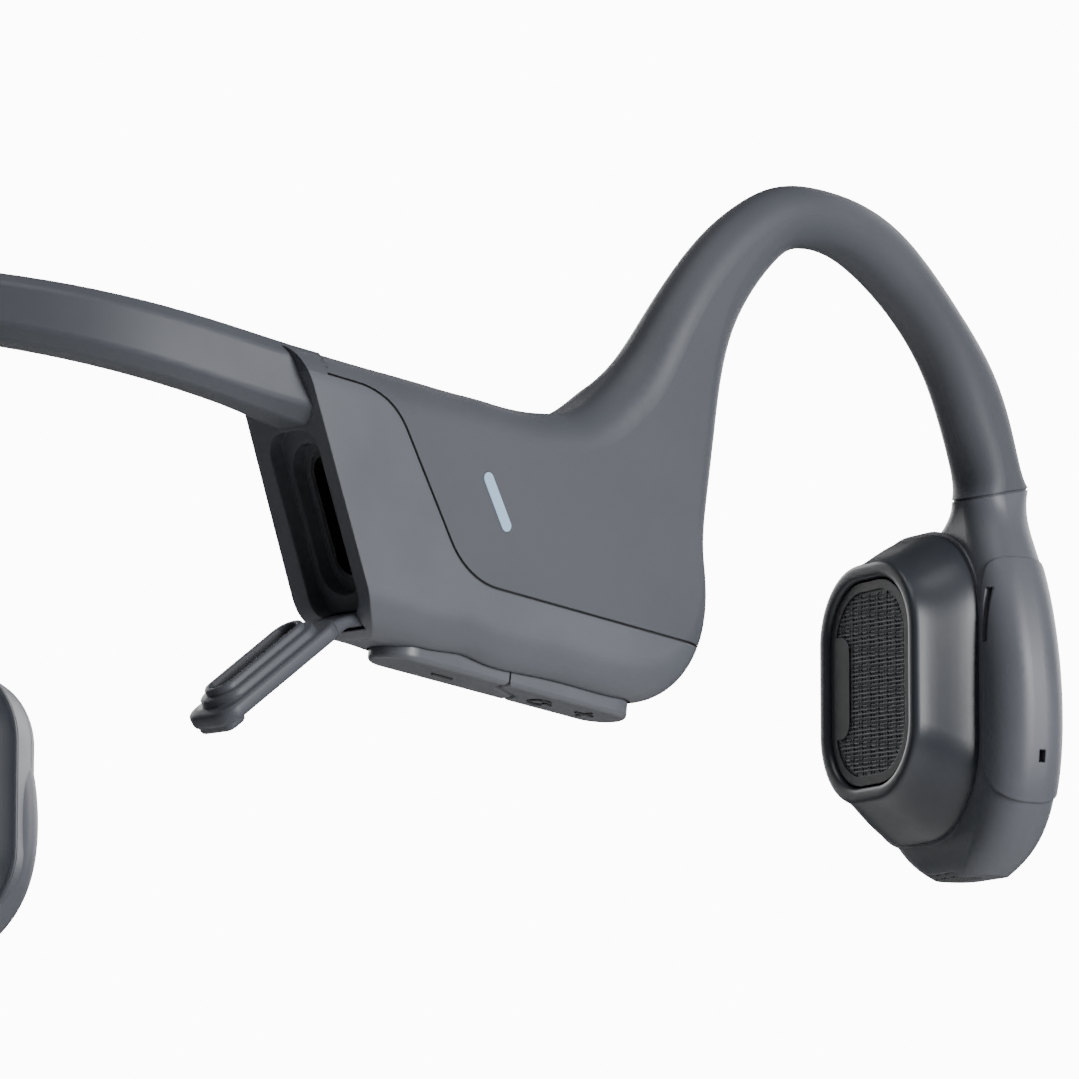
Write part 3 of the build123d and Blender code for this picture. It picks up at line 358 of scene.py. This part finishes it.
# ---------------------------------------------------------------- materials
def finish_material(name, group_name, group_values, bump=0.1, bump_distance=0.02, edge=0.0, **constants):
    """Material whose colour, roughness and bump come from a shared group; other sockets are constants."""
    material = bpy.data.materials.new(name)
    material.use_nodes = True
    tree = material.node_tree
    shader = tree.nodes["Principled BSDF"]
    effect = tree.nodes.new("ShaderNodeGroup")
    effect.node_tree = shared_group(group_name)
    for key, value in group_values.items():
        if key == "Colour":
            value = (*value, 1)
        effect.inputs[key].default_value = value
    tree.links.new(effect.outputs["Colour"], shader.inputs["Base Color"])
    tree.links.new(effect.outputs["Roughness"], shader.inputs["Roughness"])
    relief = add_node(tree, "ShaderNodeBump", Strength=bump, Distance=bump_distance * MM)
    tree.links.new(effect.outputs["Height"], relief.inputs["Height"])
    if edge:
        soften = add_node(tree, "ShaderNodeBevel", samples=4)
        soften.inputs["Radius"].default_value = edge * MM
        tree.links.new(soften.outputs["Normal"], relief.inputs["Normal"])
    tree.links.new(relief.outputs["Normal"], shader.inputs["Normal"])
    for key, value in constants.items():
        shader.inputs[key.replace("_", " ")].default_value = value
    return material


def grain(name, tone, roughness, spread=0.06, scale=9000.0, drift=0.05, **rest):
    values = {
        "Colour": tone, "Scale": scale, "Drift": drift,
        "Roughness": roughness, "Roughness spread": spread,
    }
    return finish_material(name, "Moulded grain", values, **rest)


def brushed(name, tone, roughness, **rest):
    values = {"Colour": tone, "Roughness": roughness}
    return finish_material(name, "Brushed metal", values, Metallic=1.0, **rest)


def make_materials():
    """One material for each finish of the object, by the record's slot name."""
    tone = colours()
    return {
        "silicone_skin": grain("Silicone skin", tone.skin, 0.52, edge=0.12, bump=0.12),
        "silicone_cushion": grain("Cushion silicone", tone.cushion, 0.36, bump=0.08, Specular_IOR_Level=0.7),
        "satin_shell": grain("Satin shell", tone.shell, 0.42, scale=7000.0, edge=0.18, bump=0.14),
        "key_plastic": grain("Key moulding", tone.keys, 0.36, edge=0.06, bump=0.08),
        "pad_plastic": grain("Pad moulding", tone.pad, 0.45, scale=6000.0, edge=0.08, bump=0.2),
        "woven_mesh": finish_material(
            "Woven mesh", "Perforation", {"Colour": tone.ribs, "Pitch scale": 2600.0}, bump=0.6,
            bump_distance=0.05,
        ),
        "spring_metal": brushed("Spring wire", (0.40, 0.40, 0.39), 0.3),
        "receptacle_steel": brushed("Receptacle steel", (0.17, 0.175, 0.185), 0.35, edge=0.05),
        "port_plastic": grain("Port moulding", tone.dark, 0.4),
        "light_pipe": grain(
            "Light window", tone.lamp, 0.35, bump=0.02,
            Emission_Color=(*tone.lamp, 1), Emission_Strength=0.35,
        ),
        "seal_rubber": grain("Seal bead", tone.dark, 0.7),
        "cable_jacket": grain("Cable jacket", tone.dark, 0.55),
        "circuit_board": grain("Circuit board", (0.012, 0.060, 0.035), 0.35),
        "switch_metal": brushed("Switch dome", (0.45, 0.46, 0.46), 0.25),
        "battery_wrap": grain("Battery pouch", (0.045, 0.047, 0.056), 0.3),
        "coil_copper": brushed("Coil copper", (0.46, 0.17, 0.05), 0.3),
        "magnet_metal": brushed("Magnet nickel", (0.55, 0.55, 0.56), 0.2),
        "yoke_steel": brushed("Yoke iron", (0.26, 0.27, 0.29), 0.4),
        "driver_plastic": grain("Driver moulding", (0.02, 0.021, 0.023), 0.5),
        "microphone_can": brushed("Microphone can", (0.55, 0.45, 0.24), 0.3),
    }


materials = {}


# ---------------------------------------------------------------- mesh helpers
def round_ring(bm, place, wide, tall, corner, level, shift=(0.0, 0.0)):
    """Ring of points on a rounded outline at a level of a local frame. Returns its edges."""
    steps = sizes().ring_steps
    made = bmesh.ops.create_circle(bm, segments=steps, radius=1.0)["verts"]
    bmesh.ops.rotate(bm, verts=made, cent=(0, 0, 0), matrix=Matrix.Rotation(pi / steps, 3, "Z"))
    corner = min(corner, wide / 2 - 0.01 * MM, tall / 2 - 0.01 * MM)
    for vert in made:
        east, north = vert.co.x, vert.co.y
        vert.co.x = shift[0] + (wide / 2 - corner) * (1 if east > 0 else -1) + corner * east
        vert.co.y = shift[1] + (tall / 2 - corner) * (1 if north > 0 else -1) + corner * north
        vert.co.z = level
    bmesh.ops.transform(bm, matrix=place, verts=made)
    inside = set(made)
    return [edge for edge in bm.edges if edge.verts[0] in inside and edge.verts[1] in inside]


def bridge_rings(bm, rings, closed=False):
    """Walls between each ring and the next."""
    pairs = list(zip(rings, rings[1:]))
    if closed:
        pairs.append((rings[-1], rings[0]))
    for first, second in pairs:
        bmesh.ops.bridge_loops(bm, edges=first + second)


def cap_ring(bm, ring):
    """Closes a ring with one flat face."""
    bmesh.ops.contextual_create(bm, geom=ring)


def capped_loft(bm, rings):
    """Walls through rings, closed at both ends."""
    bridge_rings(bm, rings)
    cap_ring(bm, rings[0])
    cap_ring(bm, rings[-1])


def finished_piece(bm, name, slot, body, angle=40):
    """Turns a bmesh into a piece with its material, riding on a body."""
    bmesh.ops.recalc_face_normals(bm, faces=bm.faces)
    mesh = bpy.data.meshes.new(name)
    bm.to_mesh(mesh)
    bm.free()
    piece = bpy.data.objects.new(name, mesh)
    bpy.context.scene.collection.objects.link(piece)
    mesh.materials.append(materials[slot])
    mesh.shade_smooth()
    mesh.set_sharp_from_angle(angle=radians(angle))
    if body:
        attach(piece, body)
    return piece


# ---------------------------------------------------------------- pad cushions
def head_side(side):
    """Sign of the way towards the head across a pad's local frame."""
    return -1 if side == "right" else 1


def cushion_rings(bm, place, back, inner):
    """Rings of a cushion from its seat, up its flared side, over the rim and down the inside."""
    size = sizes()
    hole_wide = size.rim_wide - 2 * size.rim_lip
    hole_tall = size.rim_tall - 2 * size.rim_lip
    steps = (
        # share of the depth, share of the flare, extra inset
        (0.00, 1.00, 0.00), (0.02, 1.00, 0.00), (0.08, 0.97, 0.00), (0.20, 0.87, 0.0), (0.34, 0.71, 0.0),
        (0.48, 0.53, 0.0), (0.62, 0.34, 0.0), (0.74, 0.19, 0.0), (0.84, 0.09, 0.0), (0.90, 0.045, 0.0),
        (0.945, 0.03, 0.03), (0.975, 0.03, 0.10), (0.992, 0.03, 0.22), (1.00, 0.03, 0.40),
    )
    rings = []
    for depth, flare, inset in steps:
        inset_mm = inset * MM
        rings.append(round_ring(
            bm, place,
            size.rim_wide + flare * (size.seat_wide - size.rim_wide) - 2 * inset_mm,
            size.rim_tall + flare * (size.seat_tall - size.rim_tall) - 2 * inset_mm,
            RIM_CORNER + flare * 1.5 * MM - inset_mm,
            back + depth * size.cushion_deep,
            (inner * SEAT_SHIFT_IN * flare, SEAT_SHIFT_UP * flare),
        ))
    front = back + size.cushion_deep
    for drop, inset in ((0.0, 0.42), (0.03, 0.24), (0.10, 0.10), (0.25, 0.02), (0.50, 0.0), (1.9, 0.0)):
        rings.append(round_ring(
            bm, place, hole_wide + 2 * inset * MM, hole_tall + 2 * inset * MM,
            RIM_CORNER - size.rim_lip + inset * MM, front - drop * MM,
        ))
    rings.append(round_ring(bm, place, hole_wide, hole_tall, RIM_CORNER - size.rim_lip, back))
    return rings


class HEADPHONES_OT_cushions(bpy.types.Operator):
    """Lofts the silicone cushion that joins each pad to its pod"""

    bl_idname = "headphones.cushions"
    bl_label = "Pad cushions"

    def execute(self, context):
        for side in SIDES:
            place = pad_frame(side)
            back = PLATE_TO_RIM - sizes().cushion_deep
            bm = bmesh.new()
            bridge_rings(bm, cushion_rings(bm, place, back, head_side(side)), closed=True)
            piece = finished_piece(bm, side + "_cushion", "silicone_cushion", "headset", angle=60)
            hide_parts(side + "_pod_cushion")
        return {"FINISHED"}


class HEADPHONES_OT_pod_liners(bpy.types.Operator):
    """Lofts the cup behind each cushion that closes the pod's inner corner"""

    bl_idname = "headphones.pod_liners"
    bl_label = "Pod liners"

    def execute(self, context):
        size = sizes()
        seat = PLATE_TO_RIM - size.cushion_deep
        for side in SIDES:
            shift = (head_side(side) * SEAT_SHIFT_IN, SEAT_SHIFT_UP)
            bm = bmesh.new()
            rings = []
            for depth, inset in (
                (3.75, 0.75), (0.3, 0.75), (0.3, 0.02), (4.4, 0.89), (4.75, 1.05), (4.9, 1.35),
            ):
                rings.append(round_ring(
                    bm, pad_frame(side),
                    size.seat_wide + (0.5 - 2 * inset) * MM, size.seat_tall + (0.5 - 2 * inset) * MM,
                    (7.2 - inset) * MM, seat - depth * MM, shift,
                ))
            capped_loft(bm, rings)
            finished_piece(bm, side + "_pod_liner", "satin_shell", "headset")
        return {"FINISHED"}


# ---------------------------------------------------------------- ribbed mesh of the pads
def pad_half_width(height, wide, tall, corner):
    """Half width of a rounded outline at a height above its middle."""
    over = abs(height) - (tall / 2 - corner)
    if over <= 0:
        return wide / 2
    return wide / 2 - corner + sqrt(max(0.0, corner**2 - over**2))


def bay_edge(height, wide):
    """Inner end of the mesh beside the smooth bay, with a slope at each end of the bay."""
    beyond = abs(height) - (BAY_TALL / 2 - BAY_SLOPE)
    share = min(1.0, max(0.0, 1 - beyond / BAY_SLOPE))
    return -wide / 2 + BAY_DEEP * share


def add_bar(bm, place, start, end, radius):
    """Thin six-sided bar between two points of a local frame."""
    length = (end - start).length
    made = bmesh.ops.create_cone(
        bm, segments=6, radius1=radius, radius2=radius, depth=length, cap_ends=True, cap_tris=False,
    )["verts"]
    turn = (end - start).to_track_quat("Z", "Y").to_matrix().to_4x4()
    turn.translation = (start + end) / 2
    bmesh.ops.transform(bm, matrix=place @ turn, verts=made)


class HEADPHONES_OT_ribs(bpy.types.Operator):
    """Lays the ribs and the finer cross wires of the mesh on each pad"""

    bl_idname = "headphones.ribs"
    bl_label = "Pad ribs"

    def execute(self, context):
        size = sizes()
        wide = size.pad_wide - 2 * PAD_BORDER
        tall = size.pad_tall - 2 * PAD_BORDER
        corner = PAD_CORNER - PAD_BORDER
        count = int(tall / size.rib_pitch)
        for side in SIDES:
            place = pad_frame(side)
            inner = -head_side(side)
            bm = bmesh.new()
            for rib in range(count):
                height = (rib + 0.5 - count / 2) * size.rib_pitch
                right = pad_half_width(height, wide, tall, corner)
                left = max(-right, bay_edge(height, wide))
                add_bar(
                    bm, place,
                    Vector((inner * left, height - RIB_SLANT * left, PLATE_TO_MESH)),
                    Vector((inner * right, height - RIB_SLANT * right, PLATE_TO_MESH)),
                    RIB_RADIUS,
                )
            wires = int(wide / (1.5 * size.rib_pitch))
            for wire in range(wires):
                offset = (wire + 0.5 - wires / 2) * 1.5 * size.rib_pitch
                top = pad_half_width(offset, tall, wide, corner) - 0.2 * MM
                spans = [(-top, top)]
                if offset < -wide / 2 + BAY_DEEP:
                    spans = [(-top, -WIRE_CLEAR), (WIRE_CLEAR, top)]
                for low, high in spans:
                    add_bar(
                        bm, place,
                        Vector((inner * offset, low, PLATE_TO_MESH - WIRE_SUNK)),
                        Vector((inner * offset, high, PLATE_TO_MESH - WIRE_SUNK)),
                        WIRE_RADIUS,
                    )
            finished_piece(bm, side + "_pad_ribs", "woven_mesh", side + "_pad", angle=50)
        return {"FINISHED"}


# ---------------------------------------------------------------- port cover
def cover_frame():
    """Local frame of the open cover: origin on its hinge, x to its tip, z to its plug's side."""
    opened = Matrix.Rotation(radians(-joints["port_cover_hinge"]["range_deg"][0]), 3, outward)
    port_up = port_out.cross(outward)
    along = opened @ port_up
    plug_side = opened @ -port_out
    return axes_matrix(hinge_place, along, plug_side.cross(along), plug_side)


class HEADPHONES_OT_port_cover(bpy.types.Operator):
    """Lofts the port cover with its stepped plug and the web that holds it to the housing"""

    bl_idname = "headphones.port_cover"
    bl_label = "Port cover"

    def execute(self, context):
        size = sizes()
        place = cover_frame()
        bm = bmesh.new()
        long, wide, thick = size.cover_long, size.cover_wide, size.cover_thick
        centre = COVER_REACH + long / 2
        profile = (
            # rise from the outer side, long, wide, corner, shift along
            (0.00, 1.2, 1.2, 0.9, 0.0), (0.04, 0.5, 0.5, 1.2, 0.0), (0.16, 0.12, 0.12, 1.4, 0.0),
            (0.32, 0.0, 0.0, 1.45, 0.0), (0.80, 0.0, 0.0, 1.45, 0.0), (0.98, 0.10, 0.10, 1.4, 0.0),
            (1.09, 0.36, 0.36, 1.3, 0.0), (1.10, 1.2, 0.9, 1.2, 0.1), (1.14, 1.9, 1.0, 1.6, 0.1),
            (1.30, 2.0, 1.1, 1.75, 0.1), (1.56, 2.0, 1.1, 1.75, 0.1), (1.65, 2.2, 1.3, 1.65, 0.1),
            (1.67, 2.9, 1.9, 1.35, 0.1), (1.72, 3.1, 2.05, 1.28, 0.1), (2.02, 3.1, 2.05, 1.28, 0.1),
            (2.14, 3.3, 2.25, 1.18, 0.1), (2.15, 3.9, 2.75, 0.95, 0.1), (2.05, 4.05, 2.9, 0.88, 0.1),
            (1.60, 4.1, 2.95, 0.85, 0.1),
        )
        rings = []
        for rise, cut_long, cut_wide, corner, shift in profile:
            rings.append(round_ring(
                bm, place, long - cut_long * MM, wide - cut_wide * MM, corner * MM,
                COVER_BACK + rise * MM, (centre + shift * MM, 0.0),
            ))
        capped_loft(bm, rings)
        tab = []
        for rise, cut, corner in (
            (0.15, 0.0, 0.6), (-0.18, 0.0, 0.6), (-0.36, 0.10, 0.6), (-0.45, 0.34, 0.5),
        ):
            tab.append(round_ring(
                bm, place, (1.9 - cut) * MM, wide - (1.3 + cut) * MM, corner * MM, COVER_BACK + rise * MM,
                (COVER_REACH + long - TAB_FROM_TIP, 0.0),
            ))
        capped_loft(bm, tab)
        web = []
        root = place.inverted() @ middle("port_cover_anchor")
        for step in range(9):
            share = step / 8
            start = Vector((1.7 * MM, 0.0, COVER_BACK + thick * 0.5))
            bend = Vector((0.0, 0.0, COVER_BACK + thick * 0.35))
            spot = start.lerp(bend, share).lerp(bend.lerp(root, share), share)
            run = (bend - start).lerp(root - bend, share).normalized()
            across = Vector((0, 1, 0))
            local = axes_matrix(spot, run.cross(across) * -1, across, run)
            width = (4.3 - 1.2 * share) * MM
            depth = (1.05 - 0.25 * sin(pi * share)) * MM
            web.append(round_ring(bm, place @ local, depth, width, 0.35 * MM, 0.0))
        capped_loft(bm, web)
        piece = finished_piece(bm, "port_cover_skin", "silicone_skin", None, angle=50)
        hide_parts("port_cover", "port_cover_anchor")
        start = middle("port_cover_anchor") + port_out * 0.9 * MM
        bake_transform(piece)
        return {"FINISHED"}


# ---------------------------------------------------------------- marks on the keys
class HEADPHONES_OT_key_marks(bpy.types.Operator):
    """Sinks the plain minus, plus and power marks into the keys"""

    bl_idname = "headphones.key_marks"
    bl_label = "Key marks"

    def execute(self, context):
        low_face = {}
        for node in ("volume_down_button", "volume_up_button"):
            spot = middle(node)
            local = axes_matrix(spot, arm_forward, -outward, -arm_up)
            points = [local.inverted() @ Vector(v.co) for v in frame["nodes"][node].data.vertices]
            low_face[node] = (local, max(p.z for p in points))
        bm = bmesh.new()
        local, level = low_face["volume_down_button"]
        centre = Vector((-0.6 * MM, 0, level))
        reach = Vector((0.9 * MM, 0, 0))
        add_bar(bm, local, centre - reach, centre + reach, MARK_STROKE)
        finished_piece(bm, "minus_mark", "port_plastic", "down_key")
        bm = bmesh.new()
        local, level = low_face["volume_up_button"]
        centre = Vector((2.6 * MM, 0, level))
        for reach in (Vector((0.8 * MM, 0, 0)), Vector((0, 0.8 * MM, 0))):
            add_bar(bm, local, centre - reach, centre + reach, MARK_STROKE)
        ring_centre = Vector((-1.6 * MM, 0, level))
        spokes = 14
        for step in range(spokes):
            first = radians(35 + step * 290 / spokes)
            second = radians(35 + (step + 1) * 290 / spokes)
            add_bar(
                bm, local,
                ring_centre + Vector((cos(first), sin(first), 0)) * 0.75 * MM,
                ring_centre + Vector((cos(second), sin(second), 0)) * 0.75 * MM,
                MARK_STROKE,
            )
        near, far = (ring_centre + Vector((end * MM, 0, 0)) for end in (0.35, 1.1))
        add_bar(bm, local, near, far, MARK_STROKE)
        finished_piece(bm, "plus_and_power_marks", "port_plastic", "up_key")
        return {"FINISHED"}


# ---------------------------------------------------------------- finishes of the CAD pieces
class HEADPHONES_OT_finishes(bpy.types.Operator):
    """Gives each carried CAD piece the material of its slot"""

    bl_idname = "headphones.finishes"
    bl_label = "Finishes"

    def execute(self, context):
        materials.update(make_materials())
        for node, piece in frame["nodes"].items():
            piece.data.materials.clear()
            piece.data.materials.append(materials[slot_of[node]])
        return {"FINISHED"}


# ---------------------------------------------------------------- stage, light and camera
def soft_light(name, place, target, size, power):
    """Square area light that faces a target."""
    lamp = bpy.data.lights.new(name, "AREA")
    lamp.shape = "RECTANGLE"
    lamp.size, lamp.size_y = size
    lamp.energy = power
    light = bpy.data.objects.new(name, lamp)
    light.location = place
    light.rotation_euler = (Vector(target) - Vector(place)).to_track_quat("-Z", "Y").to_euler()
    bpy.context.scene.collection.objects.link(light)


class HEADPHONES_OT_stage(bpy.types.Operator):
    """Sets the pale floor, the studio light and the camera"""

    bl_idname = "headphones.stage"
    bl_label = "Stage"

    def execute(self, context):
        scene = context.scene
        side, below = radians(CAMERA_SIDE), radians(CAMERA_BELOW)
        away = Vector((-cos(side) * cos(below), sin(side) * cos(below), -sin(below)))
        right = Vector((-sin(side), -cos(side), 0))
        up = away.cross(right)
        target = Vector(LOOK_AT)
        camera_data = bpy.data.cameras.new("camera")
        camera_data.sensor_width = CAMERA_SENSOR
        camera_data.lens = CAMERA_LENS
        camera_data.clip_start = 0.01
        camera = bpy.data.objects.new("camera", camera_data)
        camera.matrix_world = axes_matrix(target + away * CAMERA_AWAY, right, up, away)
        scene.collection.objects.link(camera)
        scene.camera = camera

        bm = bmesh.new()
        bmesh.ops.create_grid(bm, x_segments=1, y_segments=1, size=FLOOR_HALF)
        mesh = bpy.data.meshes.new("floor")
        bm.to_mesh(mesh)
        bm.free()
        floor = bpy.data.objects.new("floor", mesh)
        floor.location = (0, 0, -FLOOR_DROP)
        scene.collection.objects.link(floor)
        paper = bpy.data.materials.new("Pale floor")
        paper.use_nodes = True
        tree = paper.node_tree
        shader = tree.nodes["Principled BSDF"]
        shader.inputs["Base Color"].default_value = (0.80, 0.80, 0.80, 1)
        shader.inputs["Roughness"].default_value = 0.9
        glow = add_node(tree, "ShaderNodeEmission", Color=(1, 1, 1, 1), Strength=2.2)
        ray = tree.nodes.new("ShaderNodeLightPath")
        blend = tree.nodes.new("ShaderNodeMixShader")
        tree.links.new(ray.outputs["Is Camera Ray"], blend.inputs[0])
        tree.links.new(shader.outputs[0], blend.inputs[1])
        both = tree.nodes.new("ShaderNodeAddShader")
        tree.links.new(shader.outputs[0], both.inputs[0])
        tree.links.new(glow.outputs[0], both.inputs[1])
        tree.links.new(both.outputs[0], blend.inputs[2])
        tree.links.new(blend.outputs[0], tree.nodes["Material Output"].inputs["Surface"])
        mesh.materials.append(paper)

        world = bpy.data.worlds.new("studio")
        scene.world = world
        world.use_nodes = True
        tree = world.node_tree
        tree.nodes.clear()
        output = tree.nodes.new("ShaderNodeOutputWorld")
        seen = add_node(tree, "ShaderNodeBackground", Color=(1, 1, 1, 1), Strength=12.0)
        cast = add_node(tree, "ShaderNodeBackground", Color=(0.93, 0.96, 1.0, 1), Strength=0.08)
        path = tree.nodes.new("ShaderNodeLightPath")
        mix = tree.nodes.new("ShaderNodeMixShader")
        tree.links.new(path.outputs["Is Camera Ray"], mix.inputs[0])
        tree.links.new(cast.outputs[0], mix.inputs[1])
        tree.links.new(seen.outputs[0], mix.inputs[2])
        tree.links.new(mix.outputs[0], output.inputs["Surface"])

        key_place = target + right * 0.55 + away * 0.40 + up * 0.20
        soft_light("key light", key_place, target, (0.30, 0.55), 6.4)
        top_place = target + up * 0.6 + away * 0.1 - right * 0.1
        soft_light("top light", top_place, target, (0.5, 0.3), 1.2)
        centre = Vector((0, 0, target.z))
        for name, side_x, side_y, power in (
            ("left light", 0.75, -0.25, 4.0),
            ("front light", 0.1, -0.75, 3.0),
            ("back light", 0.35, 0.75, 0.15),
        ):
            soft_light(name, centre + Vector((side_x, side_y, 0.22)), centre, (0.6, 0.5), power)
        return {"FINISHED"}


# ---------------------------------------------------------------- panel and registration
PIECE_OPERATORS = (
    HEADPHONES_OT_finishes,
    HEADPHONES_OT_cushions,
    HEADPHONES_OT_pod_liners,
    HEADPHONES_OT_ribs,
    HEADPHONES_OT_port_cover,
    HEADPHONES_OT_key_marks,
    HEADPHONES_OT_stage,
)


class HEADPHONES_PT_panel(bpy.types.Panel):
    """Lists the steps that build the headphones"""

    bl_idname = "HEADPHONES_PT_panel"
    bl_label = "Headphones"
    bl_space_type = "VIEW_3D"
    bl_region_type = "UI"
    bl_category = "Headphones"

    def draw(self, context):
        for operator in PIECE_OPERATORS:
            self.layout.operator(operator.bl_idname)
        for name in HeadphoneSizes.__annotations__:
            self.layout.prop(context.scene.headphone_sizes, name)
        for name in HeadphoneColours.__annotations__:
            self.layout.prop(context.scene.headphone_colours, name)


CLASSES = (HeadphoneSizes, HeadphoneColours, *PIECE_OPERATORS, HEADPHONES_PT_panel)


def register():
    for cls in CLASSES:
        bpy.utils.register_class(cls)
    bpy.types.Scene.headphone_sizes = PointerProperty(type=HeadphoneSizes)
    bpy.types.Scene.headphone_colours = PointerProperty(type=HeadphoneColours)


def unregister():
    del bpy.types.Scene.headphone_colours
    del bpy.types.Scene.headphone_sizes
    for cls in reversed(CLASSES):
        bpy.utils.unregister_class(cls)


def main():
    register()
    bpy.ops.headphones.finishes()
    bpy.ops.headphones.cushions()
    bpy.ops.headphones.pod_liners()
    bpy.ops.headphones.ribs()
    bpy.ops.headphones.port_cover()
    bpy.ops.headphones.key_marks()
    bpy.ops.headphones.stage()


if __name__ == "__main__":
    main()
